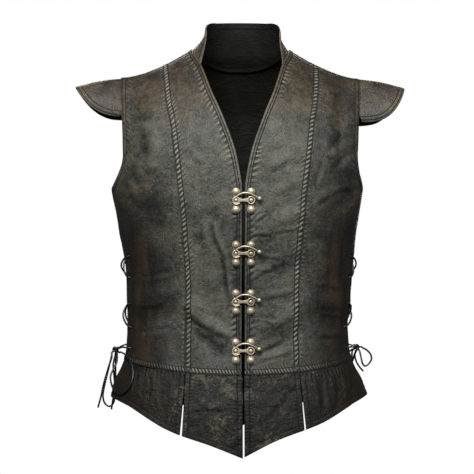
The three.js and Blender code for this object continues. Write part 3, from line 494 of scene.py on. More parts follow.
class Crease(NamedTuple):
    """A crease, placed one by one: a line over the front or back, its width, its rise and its bow."""

    back: bool
    x0: float
    z0: float
    x1: float
    z1: float
    width: float
    rise: float
    bow: float = 0.0


@dataclass
class Sheet:
    """A sheet of leather: a grid of outer points with what is sewn at its edges."""

    name: str
    points: Array
    sewing: dict[Edge, Sewing]
    seed: int
    crumple: float = 1.0
    creases: Sequence[Crease] = ()
    wear: float = 0.5
    # how much painted shade the sheet takes in its finish, which also makes it browner, glossier and more
    # wrinkled
    dark: float = 0.0

    def __post_init__(self) -> None:
        """Work out the normals and the distances from the sewn edges."""
        down, across = np.gradient(self.points, axis=(0, 1))
        self.normals = unit(np.cross(across, down))
        self.fields = {edge: self._from_line(self.line(edge)) for edge in self.sewing}

    def line(self, edge: Edge) -> Array:
        """Return the points of an edge."""
        if edge is Edge.LEFT:
            return self.points[:, 0]
        if edge is Edge.RIGHT:
            return self.points[:, -1]
        return self.points[0] if edge is Edge.FOOT else self.points[-1]

    def _from_line(self, line: Array) -> tuple[Array, Array]:
        """Measure the sheet from one of its edges.

        Args:
            line: Points of the edge.

        Returns:
            The distance of each grid point from the edge, and how far along the edge it lies.
        """
        places = self.points.reshape(-1, 3)
        steps = np.linalg.norm(np.diff(line, axis=0), axis=1)
        lengths = np.concatenate([[0], np.cumsum(steps)])
        starts, ways = line[:-1], np.diff(line, axis=0)
        squares = np.maximum((ways * ways).sum(axis=1), 1e-9)
        away, along = np.empty(len(places)), np.empty(len(places))
        for first in range(0, len(places), 4000):
            part = places[first : first + 4000]
            nearest = ((part[:, None] - line[None]) ** 2).sum(axis=2).argmin(axis=1)
            best = np.full(len(part), np.inf)
            for k in (nearest - 1, nearest):
                k = np.clip(k, 0, len(starts) - 1)
                share = np.clip(((part - starts[k]) * ways[k]).sum(axis=1) / squares[k], 0, 1)
                gap = np.linalg.norm(part - starts[k] - share[:, None] * ways[k], axis=1)
                closer = gap < best
                best = np.where(closer, gap, best)
                along[first : first + 4000] = np.where(
                    closer, lengths[k] + share * steps[k], along[first : first + 4000]
                )
            away[first : first + 4000] = best
        shape = self.points.shape[:2]
        return away.reshape(shape), along.reshape(shape)

    def relief(self) -> tuple[Array, dict[str, Array]]:
        """Work out the fine form of the sheet.

        Returns:
            How far each grid point stands out, and by name what its finish needs: how rubbed it is, how much
            painted shade it takes in a crease trough or between a seam's puckers, the height of the puckers
            and how many of them it is along its edge.
        """
        noise = Noise(self.seed)
        small = Noise(self.seed + 31)
        broad = noise(self.points, (60.0, 60.0, 105.0))
        pad = noise.crumple(self.points, (34.0, 34.0, 28.0))
        fine = small.crumple(self.points, (12.0, 12.0, 9.0))
        rise = 1.5 * broad + self.crumple * (0.55 * pad + 0.14 * fine)
        wear = self.wear + 0.2 * pad + 0.16 * fine + 0.12 * broad
        lift, hollow_shade, rubbed = self._creases()
        rise, wear = rise + lift, wear + rubbed
        ripple, turns, tan = np.zeros(rise.shape), np.zeros(rise.shape), np.zeros(rise.shape)
        for edge, sewing in self.sewing.items():
            lift, rubbed, shade, tanned = self._sewn(edge, sewing)
            rise, wear, tan = rise + lift, wear + rubbed, np.maximum(tan, tanned)
            hollow_shade = np.maximum(hollow_shade, shade)
            height, along = self._puckers(edge, sewing)
            turns = np.where(height > ripple, along, turns)
            ripple = np.abs(ripple - height)
        marks = {"wear": np.clip(wear, 0, 1), "hollow_shade": np.clip(hollow_shade, 0, 1), "tan": tan}
        marks["dark"] = np.full(rise.shape, self.dark)
        return rise, marks | {"ripple": ripple, "turns": turns} | self._rows()

    def _rows(self) -> dict[str, Array]:
        """Work out, for each grid point, how far the nearest sewn edges are and where their stitches run."""
        shape = self.points.shape[:2]
        rows = {}
        for word, edges in (("side", (Edge.LEFT, Edge.RIGHT)), ("end", (Edge.FOOT, Edge.HEAD))):
            away, first, last = np.full(shape, 99.0), np.full(shape, -9.0), np.full(shape, -9.0)
            for edge in edges:
                if edge not in self.sewing or not self.sewing[edge].rows:
                    continue
                near = self.fields[edge][0] < away
                away = np.where(near, self.fields[edge][0], away)
                first = np.where(near, self.sewing[edge].rows[0], first)
                last = np.where(near, self.sewing[edge].rows[-1], last)
            rows |= {f"{word}_away": away, f"{word}_first": first, f"{word}_last": last}
        return rows

    def _creases(self) -> tuple[Array, Array, Array]:
        """Work out the creases: a rounded ridge with a sharp trough beside it; the ridge is rubbed light,
        and the trough is darkened with painted shade.
        """
        shape = self.points.shape[:2]
        lift, hollow_shade, rubbed = np.zeros(shape), np.zeros(shape), np.zeros(shape)
        wander = Noise(self.seed + 7)(self.points, 26.0) * 2.5
        place = self.points[..., [0, 2]]
        behind = self.normals[..., 1] > 0
        for crease in self.creases:
            start, end = np.array([crease.x0, crease.z0]), np.array([crease.x1, crease.z1])
            way = end - start
            length = float(np.linalg.norm(way))
            way = way / length
            side = np.array([-way[1], way[0]])
            along = ((place - start) @ way) / length
            offset = (place - start) @ side + wander - crease.bow * (1 - (2 * along - 1) ** 2)
            ends = smooth(-0.04, 0.22, along) * smooth(-0.04, 0.22, 1 - along) * (behind == crease.back)
            ridge = hump(offset - 0.9 * crease.width, crease.width) * ends
            trough = hump(offset + 0.5 * crease.width, 0.6 * crease.width) * ends
            lift += crease.rise * (ridge - 0.8 * trough)
            # painted shade in the trough, as a darker colour here and as less rubbing on the next line
            hollow_shade += 0.30 * trough * abs(crease.rise) / 2
            rubbed += (0.24 * ridge * np.sign(crease.rise) - 0.20 * trough) * min(1.0, abs(crease.rise))
        return lift, hollow_shade, rubbed

    def _sewn(self, edge: Edge, sewing: Sewing) -> tuple[Array, Array, Array, Array]:
        """Work out the turned edge: its rise, its wear, its painted shade and how brown it is rubbed."""
        away = self.fields[edge][0]
        lift = sewing.rise * (1 - smooth(sewing.band - 0.6, sewing.band + 1.4, away))
        lift -= sewing.roll * np.clip(1 - away / 1.5, 0, 1) ** 2
        for row in sewing.rows:
            lift -= 0.4 * hump(away - row, 1.3)
        on_band = 1 - smooth(sewing.band - 1, sewing.band + 1, away)
        edge_rub = sewing.bare * (1 - smooth(0.8, 3.2, away))
        rubbed = 0.14 * on_band * sewing.bare + 0.3 * edge_rub
        return lift, rubbed, sewing.shade * on_band, 0.45 * on_band + 0.4 * edge_rub

    def _puckers(self, edge: Edge, sewing: Sewing) -> tuple[Array, Array]:
        """Work out how high the puckers along an edge are, and how many of them a point is along it."""
        away, along = self.fields[edge]
        uneven = Noise(self.seed + 13)
        on_band = np.clip(np.sin(np.pi * np.clip(away / max(sewing.band, 0.1), 0, 1)), 0, 1) ** 0.6
        out = smooth(sewing.band, sewing.band + 1.5, away)
        faded = out * (1 - smooth(0.15 * sewing.reach, sewing.reach, away - sewing.band))
        patchy = smooth(-0.6, 0.4, uneven(self.points, 30.0))
        strength = 0.8 + 0.6 * uneven(self.points, 9.0)
        height = strength * (sewing.pucker * on_band + sewing.beyond * faded * patchy)
        height *= 1 - 0.7 * smooth(sewing.below - 20, sewing.below + 20, self.points[..., 2])
        sway = 0.42 * uneven(self.points, 17.0)
        lean = sewing.slant * (-1 if edge is Edge.LEFT else 1)
        return height, (along + lean * away) / sewing.pitch + sway


@dataclass
class Shell:
    """A thin closed shell made from a sheet, with the lines that its stitches follow."""

    sheet: Sheet
    holes: Sequence[Array] = ()
    thickness: float = WALL - 0.2
    stitches: list[tuple[Array, Array, Array]] = field(default_factory=list)

    def build(self, outer: "bpy.types.Material", inner: "bpy.types.Material") -> bpy.types.Object:
        """Build the shell's mesh.

        Args:
            outer: Finish of the outer face and the edges.
            inner: Finish of the inner face.

        Returns:
            The object.
        """
        sheet = self.sheet
        rise, marks = sheet.relief()
        face = sheet.points + rise[..., None] * sheet.normals
        rows, columns = rise.shape
        index = np.arange(rows * columns).reshape(rows, columns)
        quads = np.stack([index[:-1, :-1], index[:-1, 1:], index[1:, 1:], index[1:, :-1]], axis=-1)
        kept = np.ones(quads.shape[:2], dtype=bool)
        for centre in self.holes:
            middles = (sheet.points[:-1, :-1] + sheet.points[1:, 1:]) / 2
            kept &= np.linalg.norm(middles - centre, axis=-1) > EYELET_RADIUS
        rim = self._rim(index, kept)
        base = sheet.points.reshape(-1, 3).copy()
        face = face.reshape(-1, 3)
        normals = sheet.normals.reshape(-1, 3)
        for centre in self.holes:
            self._round(centre, np.unique(rim), base, face, normals)
        behind = base - self.thickness * normals + 0.25 * rise.reshape(-1, 1) * normals
        solid = quads[kept]
        count = rows * columns
        walls = np.stack([rim[:, 1], rim[:, 0], rim[:, 0] + count, rim[:, 1] + count], axis=1)
        faces = np.concatenate([solid, walls, solid[:, ::-1] + count])
        used = np.zeros(2 * count, dtype=bool)
        used[faces.ravel()] = True
        renumber = np.cumsum(used) - 1
        mesh = bpy.data.meshes.new(f"leather_{sheet.name}")
        mesh.from_pydata((np.concatenate([face, behind])[used] * MM).tolist(), [], renumber[faces].tolist())
        for name, values in marks.items():
            layer = mesh.attributes.new(name, "FLOAT", "POINT")
            both = np.concatenate([values.ravel(), values.ravel()])[used]
            layer.data.foreach_set("value", both.astype(np.float32))
        mesh.materials.append(outer)
        mesh.materials.append(inner)
        slots = np.zeros(len(faces), dtype=np.int32)
        slots[len(solid) + len(walls) :] = 1
        mesh.polygons.foreach_set("material_index", slots)
        mesh.polygons.foreach_set("use_smooth", np.ones(len(faces), dtype=bool))
        mesh.update()
        self._plan_stitches(face, solid)
        return placed(mesh.name, mesh)

    @staticmethod
    def _rim(index: Array, kept: Array) -> Array:
        """Return the border edges of the kept grid cells, each with the leather on its left."""
        padded = np.pad(kept, 1)
        inside = padded[1:-1, 1:-1]
        borders = (
            (inside & ~padded[:-2, 1:-1], index[:-1, :-1], index[:-1, 1:]),
            (inside & ~padded[1:-1, 2:], index[:-1, 1:], index[1:, 1:]),
            (inside & ~padded[2:, 1:-1], index[1:, 1:], index[1:, :-1]),
            (inside & ~padded[1:-1, :-2], index[1:, :-1], index[:-1, :-1]),
        )
        return np.concatenate([np.stack([a[mask], b[mask]], axis=1) for mask, a, b in borders])

    @staticmethod
    def _round(centre: Array, rim: Array, base: Array, face: Array, normals: Array) -> None:
        """Move the border points near an eyelet onto its circle."""
        near = rim[np.linalg.norm(base[rim] - centre, axis=1) < EYELET_RADIUS + 2.5]
        for points, sink in ((base, 0.0), (face, 0.5)):
            away = points[near] - centre
            height = (away * normals[near]).sum(axis=1, keepdims=True)
            flat = away - height * normals[near]
            points[near] = centre + unit(flat) * EYELET_RADIUS + (height - sink) * normals[near]

    def _plan_stitches(self, face: Array, solid: Array) -> None:
        """Work out where each stitch lies: its middle, its direction and the outward direction."""
        sheet = self.sheet
        tree = BVHTree.FromPolygons([Vector(p) for p in face], solid.tolist())
        for edge, sewing in sheet.sewing.items():
            for row in sewing.rows:
                self._row_of_stitches(edge, row, tree)

    def _inward(self, edge: Edge) -> Array:
        """Return the direction from each point of an edge into the sheet."""
        points = self.sheet.points
        first, second = {
            Edge.LEFT: (points[:, 0], points[:, 2]),
            Edge.RIGHT: (points[:, -1], points[:, -3]),
            Edge.FOOT: (points[0], points[2]),
            Edge.HEAD: (points[-1], points[-3]),
        }[edge]
        return unit(second - first)

    def _row_of_stitches(self, edge: Edge, row: float, tree: BVHTree) -> None:
        """Place one row of stitches at a distance from an edge, clear of other rows and of eyelets."""
        normals = self.sheet.normals.reshape(-1, 3)
        line, inward = self.sheet.line(edge), self._inward(edge)
        way = unit(np.gradient(line, axis=0))
        side = unit(inward - (inward * way).sum(axis=1, keepdims=True) * way)
        path = line + row * side
        lengths = np.concatenate([[0], np.cumsum(np.linalg.norm(np.diff(path, axis=0), axis=1))])
        others = [
            (self.sheet.fields[other][0].ravel(), min(sewing.rows))
            for other, sewing in self.sheet.sewing.items()
            if other is not edge and sewing.rows
        ]
        places = self.sheet.points.reshape(-1, 3)
        spots = np.arange(STITCH.margin, lengths[-1] - STITCH.margin, STITCH.pitch)
        centres = np.stack([np.interp(spots, lengths, path[:, k]) for k in range(3)], axis=1)
        ways = unit(np.stack([np.interp(spots, lengths, way[:, k]) for k in range(3)], axis=1))
        kept_centres, kept_ways, kept_ups = [], [], []
        for centre, direction in zip(centres, ways):
            hit, normal, _, _ = tree.find_nearest(Vector(centre))
            if hit is None:
                continue
            nearest = int(((places - np.array(hit)) ** 2).sum(axis=1).argmin())
            if any(away[nearest] < first_row - STITCH.clear for away, first_row in others):
                continue
            if any(np.linalg.norm(np.array(hit) - hole) < EYELET_RADIUS + 1 for hole in self.holes):
                continue
            kept_centres.append(np.array(hit))
            kept_ways.append(direction)
            kept_ups.append(normals[nearest])
        if kept_centres:
            self.stitches.append((np.array(kept_centres), np.array(kept_ways), np.array(kept_ups)))


@dataclass(frozen=True)
class StitchSize:
    """A machine stitch of thick thread."""

    pitch: float = 3.6
    length: float = 2.7
    radius: float = 0.42
    proud: float = 0.12  # how far its middle stands over the leather
    sides: int = 5
    margin: float = 2.0  # from a row's end to its first stitch
    clear: float = 0.6  # how far a row runs past the first row of another edge


STITCH = StitchSize()


def stitch_mesh(
    name: str, runs: Sequence[tuple[Array, Array, Array]], finish: bpy.types.Material
) -> bpy.types.Object:
    """Build all the stitches of one piece as small rounded beads of thread.

    Args:
        name: Name of the piece.
        runs: Middles, directions and outward directions of the stitches of each row.
        finish: Finish of the thread.

    Returns:
        The object.
    """
    turns = 2 * np.pi * np.arange(STITCH.sides) / STITCH.sides
    rings = ((-0.5, 0.45), (-0.28, 1.0), (0.28, 1.0), (0.5, 0.45))
    shape = np.array(
        [
            (x * STITCH.length, STITCH.radius * r * math.cos(t), STITCH.radius * r * math.sin(t))
            for x, r in rings
            for t in turns
        ]
    )
    n = STITCH.sides
    faces = [
        ((k + 1) * n + i, (k + 1) * n + (i + 1) % n, k * n + (i + 1) % n, k * n + i)
        for k in range(len(rings) - 1)
        for i in range(n)
    ]
    caps = [tuple(range(n)), tuple(range((len(rings) - 1) * n, len(rings) * n))[::-1]]
    centres = np.concatenate([run[0] for run in runs])
    ways = np.concatenate([run[1] for run in runs])
    ups = unit(np.concatenate([run[2] for run in runs]))
    ways = unit(ways - (ways * ups).sum(axis=1, keepdims=True) * ups)
    sides = np.cross(ups, ways)
    points = (
        centres[:, None]
        + shape[None, :, :1] * ways[:, None]
        + shape[None, :, 1:2] * sides[:, None]
        + (shape[None, :, 2:] + STITCH.proud) * ups[:, None]
    )
    offsets = np.arange(len(centres)) * len(shape)
    quads = (offsets[:, None, None] + np.array(faces)[None]).reshape(-1, 4).tolist()
    ends = (offsets[:, None, None] + np.array(caps)[None]).reshape(-1, n).tolist()
    mesh = bpy.data.meshes.new(name)
    mesh.from_pydata((points.reshape(-1, 3) * MM).tolist(), [], quads + ends)
    mesh.polygons.foreach_set("use_smooth", np.ones(len(mesh.polygons), dtype=bool))
    mesh.materials.append(finish)
    mesh.update()
    return placed(name, mesh)


# --- Finishes ---
Number = float | int


class Socket:
    """A value, colour or vector in a material's node tree, with arithmetic on values."""

    def __init__(self, tree: bpy.types.NodeTree, socket: bpy.types.NodeSocket) -> None:
        """Wrap an output socket of the tree."""
        self.tree = tree
        self.socket = socket

    def _math(self, operation: str, *values: "Socket | Number") -> "Socket":
        """Add a Math node on the values."""
        return Nodes(self.tree).add("ShaderNodeMath", {"operation": operation}, dict(enumerate(values)))

    def __add__(self, other: "Socket | Number") -> "Socket":
        """Return the sum."""
        return self._math("ADD", self, other)

    def __sub__(self, other: "Socket | Number") -> "Socket":
        """Return the difference."""
        return self._math("SUBTRACT", self, other)

    def __rsub__(self, other: Number) -> "Socket":
        """Return a number less the value."""
        return self._math("SUBTRACT", other, self)

    def __mul__(self, other: "Socket | Number") -> "Socket":
        """Return the product."""
        return self._math("MULTIPLY", self, other)

    __radd__ = __add__
    __rmul__ = __mul__

    def larger(self, other: "Socket | Number") -> "Socket":
        """Return the larger of two values."""
        return self._math("MAXIMUM", self, other)

    def clamped(self, low: Number = 0.0, high: Number = 1.0) -> "Socket":
        """Return the value kept between two limits."""
        return self._math("MAXIMUM", self._math("MINIMUM", self, high), low)

    def sine(self) -> "Socket":
        """Return the sine of the value."""
        return self._math("SINE", self)

    def absolute(self) -> "Socket":
        """Return the value without its sign."""
        return self._math("ABSOLUTE", self)

    def stretched(self, low: Number, high: Number) -> "Socket":
        """Return 0 at low, 1 at high, and a smooth rise between."""
        settings = {"interpolation_type": "SMOOTHSTEP"}
        return Nodes(self.tree).add("ShaderNodeMapRange", settings, {0: self, 1: low, 2: high})


class Nodes:
    """Adds nodes to a material's node tree."""

    def __init__(self, tree: bpy.types.NodeTree) -> None:
        """Keep the tree."""
        self.tree = tree

    def add(
        self, kind: str, settings: dict | None = None, inputs: dict | None = None, out: int | str = 0
    ) -> Socket:
        """Add a node.

        Args:
            kind: Type of the node.
            settings: Settings of the node, which are set first.
            inputs: Values or links of its sockets, by name or number.
            out: Name or number of the output to return.

        Returns:
            The node's output.
        """
        node = self.tree.nodes.new(kind)
        for name, value in (settings or {}).items():
            setattr(node, name, value)
        for name, value in (inputs or {}).items():
            if isinstance(value, Socket):
                self.tree.links.new(value.socket, node.inputs[name])
            else:
                node.inputs[name].default_value = value
        return Socket(self.tree, node.outputs[out])

    def attribute(self, name: str) -> Socket:
        """Return a value stored on the mesh."""
        return self.add("ShaderNodeAttribute", {"attribute_name": name}, out="Fac")

    def place(self) -> Socket:
        """Return the place on the object, in metres."""
        return self.add("ShaderNodeTexCoord", out="Object")

    def noise(
        self, place: Socket, scale: float, detail: float, rough: float = 0.6, warp: float = 0
    ) -> Socket:
        """Return noise from 0 to 1 with so many lumps to a metre."""
        inputs = {"Vector": place, "Scale": scale, "Detail": detail, "Roughness": rough, "Distortion": warp}
        return self.add("ShaderNodeTexNoise", {}, inputs)

    def stretched_noise(self, place: Socket, along: Point, scale: float, *rest: float) -> Socket:
        """Return noise over a place that is scaled along X, Y and Z first."""
        return self.noise(self.add("ShaderNodeMapping", {}, {"Vector": place, "Scale": along}), scale, *rest)

    def blend(self, share: Socket | Number, low: Socket | tuple, high: Socket | tuple) -> Socket:
        """Return a colour at a share of the way between two."""
        inputs = {0: share, 6: low, 7: high}
        return self.add("ShaderNodeMix", {"data_type": "RGBA"}, inputs, out=2)

    def bump(self, height: Socket, strength: float, depth: float) -> Socket:
        """Return a normal bent by a height, which counts in units of the depth, in metres."""
        return self.add("ShaderNodeBump", {}, {"Strength": strength, "Distance": depth, "Height": height})

    def split(self, place: Socket, axis: str) -> Socket:
        """Return one coordinate of a place."""
        return self.add("ShaderNodeSeparateXYZ", {}, {0: place}, out=axis)


def rgba(colour: Sequence[float]) -> tuple[float, float, float, float]:
    """Return a colour with full opacity."""
    return (*colour, 1.0)


class Finish:
    """Base of the finishes: makes a material with a Principled shader."""

    name = "finish"

    def material(self) -> bpy.types.Material:
        """Return the finish's material, made once."""
        known = bpy.data.materials.get(self.name)
        if known is not None:
            return known
        material = bpy.data.materials.new(self.name)
        material.use_nodes = True
        tree = material.node_tree
        self.dress(Nodes(tree), tree.nodes["Principled BSDF"])
        return material

    def dress(self, nodes: Nodes, shader: bpy.types.Node) -> None:
        """Set the shader's sockets and links."""
        raise NotImplementedError

    @staticmethod
    def feed(nodes: Nodes, shader: bpy.types.Node, **inputs: Socket | Number | tuple) -> None:
        """Link or set sockets of the shader, with underscores for spaces in their names."""
        for name, value in inputs.items():
            socket = shader.inputs[name.replace("_", " ")]
            if isinstance(value, Socket):
                nodes.tree.links.new(value.socket, socket)
            else:
                socket.default_value = value


# --- Leather, thong, thread and brass ---
def stitch_lines(nodes: Nodes) -> Socket:
    """Return how much of each place lies on a stitch line, from the distances that the mesh holds."""
    lines = []
    for word in ("side", "end"):
        away = nodes.attribute(f"{word}_away")
        for row in ("first", "last"):
            lines.append(1 - (away - nodes.attribute(f"{word}_{row}")).absolute().stretched(0.3, 1.05))
    return lines[0].larger(lines[1]).larger(lines[2]).larger(lines[3])


class Ground:
    """The leather's places, the noise over it, and what its mesh holds."""

    def __init__(self, nodes: Nodes) -> None:
        """Add the nodes.

        Args:
            nodes: Where to add them.
        """
        self.place = nodes.place()
        self.height = nodes.split(self.place, "Z")
        self.aside = nodes.split(self.place, "X").absolute()
        self.behind = nodes.split(self.place, "Y").stretched(-0.02, 0.02)
        self.cloudy = nodes.noise(self.place, 21, 4, 0.6, 0.6)
        self.mottled = nodes.noise(self.place, 120, 4, 0.65, 0.8)
        self.crinkle = nodes.noise(self.place, 270, 4, 0.7, 1.3)
        self.speck = nodes.noise(self.place, 520, 3, 0.65)
        # how much painted shade the sheet takes, which also makes it browner, glossier and more wrinkled
        self.dark = nodes.attribute("dark")
        self.ripple = nodes.attribute("ripple")
        self.rung = (nodes.attribute("turns") * (2 * math.pi)).sine().stretched(-0.6, 0.75)
        self.pucker = self.ripple * (self.rung - 0.5)
        self.line = stitch_lines(nodes)


@dataclass(frozen=True)
class RubbedLeather(Finish):
    """Black garment leather, rubbed grey in front and brown at edges, shoulders and sides, with painted
    shade at its sides, below the waist, in creases and between puckers.
    """

    name: str = "rubbed_leather"
    # darkest colour: the painted shade at the sides, below the waist, in crease troughs and between puckers
    # blends towards it, and so do the stitch lines
    deep: Point = (0.0034, 0.0034, 0.0023)
    body: Point = (0.0170, 0.0178, 0.0145)
    rubbed: Point = (0.130, 0.134, 0.107)
    brown: Point = (0.134, 0.104, 0.064)
    umber: Point = (0.027, 0.020, 0.012)
    russet: Point = (0.030, 0.016, 0.007)
    # colour of the puckers' crests: partly rubbed leather, partly painted highlight
    crest_rub_and_highlight: Point = (0.270, 0.268, 0.215)
    start: float = 2.16  # the more, the less of it is rubbed
    gloss: float = 0.44
    shoulders: Span = (-0.15, -0.05)  # heights over which it turns brown
    top_darkening: Span = (-0.13, -0.03)  # heights over which it turns darker towards the shoulders
    placket_head: Span = (-0.262, -0.222)  # heights over which the calm strip beside the opening ends
    placket: Span = (0.010, 0.018)  # distances from the middle over which it ends
    flanks: Span = (0.085, 0.150)  # distances from the middle over which the painted shade at the sides sets in
    chest: Span = (-0.31, -0.17)  # heights over which the painted shade on the flanks deepens downwards
    waist: Span = (-0.50, -0.42)  # heights below which all of it takes more painted shade
    streaks: float = 0.148  # distance of the russet streaks from the middle

    def dress(self, nodes: Nodes, shader: bpy.types.Node) -> None:
        """Set the leather's colour with its painted shade and highlights, its gloss, wrinkles and grain."""
        ground = Ground(nodes)
        dim, russet = self._shaded(nodes, ground)
        shade = nodes.blend(russet, rgba(self.deep), rgba(self.russet))
        colour = nodes.blend(dim, self._worn(nodes, ground), shade)
        colour = self._seamed(nodes, ground, colour, dim)
        relief = ground.pucker - ground.line * 0.6 + (ground.crinkle - 0.5) * 0.9
        relief = relief + (ground.speck - 0.5) * 0.14
        relief = relief + self._wrinkles(nodes, ground) * (1 + ground.dark * 0.9)
        rough = 0.43 + (ground.mottled - 0.5) * 0.5 + (ground.speck - 0.5) * 0.2
        rough = rough + dim * 0.06 - ground.dark * 0.10 + ground.line * 0.2
        self.feed(nodes, shader, Base_Color=colour, Roughness=rough.clamped(0.25, 0.9))
        self.feed(nodes, shader, Normal=nodes.bump(relief, 1.0, MM), Specular_IOR_Level=self.gloss)

    def _worn(self, nodes: Nodes, ground: Ground) -> Socket:
        """Return the leather's colour, black where it is whole and grey or brown where it is rubbed."""
        calm = (1 - ground.height.stretched(*self.placket_head)) * (1 - ground.behind)
        calm = calm * (1 - ground.aside.stretched(*self.placket))
        rub = nodes.attribute("wear") + ground.cloudy + ground.mottled * 1.1 + ground.crinkle * 1.4
        # the puckers' tops are lighter and the dips between them darker: partly wear, partly painted
        # highlight and shade
        rub = rub + ground.speck * 0.5 + ground.pucker * 0.9 - self.start
        rub = rub - calm * 0.36 - ground.height.stretched(*self.top_darkening) * 0.26
        tan = self._tan(nodes, ground) * (1 - calm)
        whole = nodes.blend(tan, rgba(self.body), rgba(self.umber))
        return nodes.blend(rub.clamped(), whole, nodes.blend(tan, rgba(self.rubbed), rgba(self.brown)))

    def _tan(self, nodes: Nodes, ground: Ground) -> Socket:
        """Return how brown the leather is: at sewn edges, on the shoulders and towards the sides."""
        high = ground.height.stretched(*self.shoulders)
        sewn = nodes.attribute("tan") * (0.12 + high * 0.5)
        patches = (ground.cloudy * 0.65 + ground.mottled * 0.35).stretched(0.42, 0.60)
        sides = ground.aside.stretched(0.10, 0.17) * 0.4 + ground.dark * 0.35
        return (sewn + (0.25 + high * 0.6 + sides) * patches + high * 0.62).clamped()

    def _shaded(self, nodes: Nodes, ground: Ground) -> tuple[Socket, Socket]:
        """Return the painted shade at the sides and below the waist, where the light falls off, and how
        russet the leather is there.
        """
        scuffed = (ground.cloudy * 0.5 + ground.mottled * 0.5).stretched(0.46, 0.62)
        low = ground.dark * (1.12 - scuffed * 0.95) + (1 - ground.height.stretched(*self.waist)) * 0.2
        under = 1 - ground.height.stretched(*self.chest)
        far = ground.aside.stretched(*self.flanks)
        # dim is painted shade: darker at the sides below the chest and on sheets marked dark, standing in
        # for light that falls off there
        dim = far * (0.04 + under * 0.94) + low - (ground.cloudy - 0.5) * 1.6 * far
        streaks = nodes.stretched_noise(ground.place, (1.0, 1.0, 0.12), 46, 3, 0.5).stretched(0.40, 0.68)
        near = 1 - (ground.aside - self.streaks).absolute().stretched(0.002, 0.034)
        russet = near * (0.2 + under) * (1 - low) * streaks + low * far * 0.15
        return dim.clamped(0, 0.9), russet.clamped()

    def _seamed(self, nodes: Nodes, ground: Ground, colour: Socket, dim: Socket) -> Socket:
        """Return the colour with painted shade in creases and between puckers, dark stitch lines, and the
        puckers' crests rubbed light with a painted highlight.
        """
        rung = ground.rung * ground.ripple.clamped()
        hollow_shade = nodes.attribute("hollow_shade")
        # hollow is painted shade in crease troughs and between a band's puckers, together with the dark
        # stitch lines
        hollow = (hollow_shade * (1.1 - rung * 0.9)).clamped().larger(ground.line * 0.92).clamped()
        # the crests are partly rubbed light and partly a painted highlight, weaker where painted shade lies
        crest_rub_and_highlight = rung * (1 - dim * 1.05).clamped() * (hollow_shade.stretched(0.1, 0.4) * 0.65 + 0.35)
        colour = nodes.blend(hollow, colour, rgba(self.deep))
        return nodes.blend(crest_rub_and_highlight * (0.35 + ground.mottled * 0.7), colour, rgba(self.crest_rub_and_highlight))

    @staticmethod
    def _wrinkles(nodes: Nodes, ground: Ground) -> Socket:
        """Return the height, in millimetres, of the wrinkles that lie in patches all over the leather."""
        wide = (nodes.noise(ground.place, 58, 3, 0.55, 1.4) - 0.5).absolute()
        narrow = (nodes.noise(ground.place, 170, 3, 0.6, 1.6) - 0.5).absolute()
        fine = nodes.noise(ground.place, 330, 3, 0.6, 0.8)
        return wide * 1.5 * (0.4 + ground.cloudy.stretched(0.35, 0.7)) + narrow * 0.6 + fine * 0.25


@dataclass(frozen=True)
class FleshSide(Finish):
    """The dark matt inner face of the leather."""

    name: str = "flesh_side"
    # the inner face is black; both colours are set darker still as painted shade for the inside of the
    # garment
    dark: Point = (0.0018, 0.0019, 0.0017)
    light: Point = (0.0170, 0.0172, 0.0145)
    neck_drop: float = 0.018  # how far the back of the neck seam lies below the shoulders

    def dress(self, nodes: Nodes, shader: bpy.types.Node) -> None:
        """Set the inner face's colour, nap and wrinkles, with painted shade beside the neck seam."""
        place = nodes.place()
        line = stitch_lines(nodes)
        # painted shade in a band beside the back neck seam, where the inner face tilts up into the light
        neck = 1 - (nodes.split(place, "Z") + self.neck_drop).absolute().stretched(0.004, 0.020)
        light = (nodes.noise(place, 40, 4) * (1 - neck * 0.8)).clamped()
        colour = nodes.blend(light, rgba(self.dark), rgba(self.light))
        colour = nodes.blend(line * 0.9, colour, rgba(self.dark))
        wrinkles = (nodes.stretched_noise(place, (1.0, 1.0, 2.2), 34, 4, 0.6, 1.4) - 0.5).absolute()
        relief = nodes.noise(place, 900, 3) * 0.06 - line * 0.9 + wrinkles * 5.0
        self.feed(nodes, shader, Base_Color=colour, Roughness=0.75, Normal=nodes.bump(relief, 1.0, MM))
        self.feed(nodes, shader, Specular_IOR_Level=0.12)


@dataclass(frozen=True)
class Thong(Finish):
    """Round black leather thong, smooth and slightly glossy."""

    name: str = "thong"
    dark: Point = (0.0075, 0.0075, 0.0068)
    light: Point = (0.030, 0.029, 0.026)

    def dress(self, nodes: Nodes, shader: bpy.types.Node) -> None:
        """Set the thong's colour, gloss and fine cracks."""
        place = nodes.place()
        worn = nodes.noise(place, 240, 4).stretched(0.5, 0.8)
        colour = nodes.blend(worn, rgba(self.dark), rgba(self.light))
        cracks = nodes.noise(place, 900, 3)
        self.feed(nodes, shader, Base_Color=colour, Roughness=0.36 + worn * 0.2, Specular_IOR_Level=0.5)
        self.feed(nodes, shader, Normal=nodes.bump(cracks, 0.2, 0.0002))


@dataclass(frozen=True)
class Thread(Finish):
    """Waxed black sewing thread."""

    name: str = "thread"
    colour: Point = (0.006, 0.006, 0.0055)

    def dress(self, nodes: Nodes, shader: bpy.types.Node) -> None:
        """Set the thread's colour and twist."""
        twist = nodes.noise(nodes.place(), 2600, 2, 0.5)
        colour = nodes.blend(twist, rgba(self.colour), rgba(tuple(3 * c for c in self.colour)))
        self.feed(nodes, shader, Base_Color=colour, Roughness=0.6)


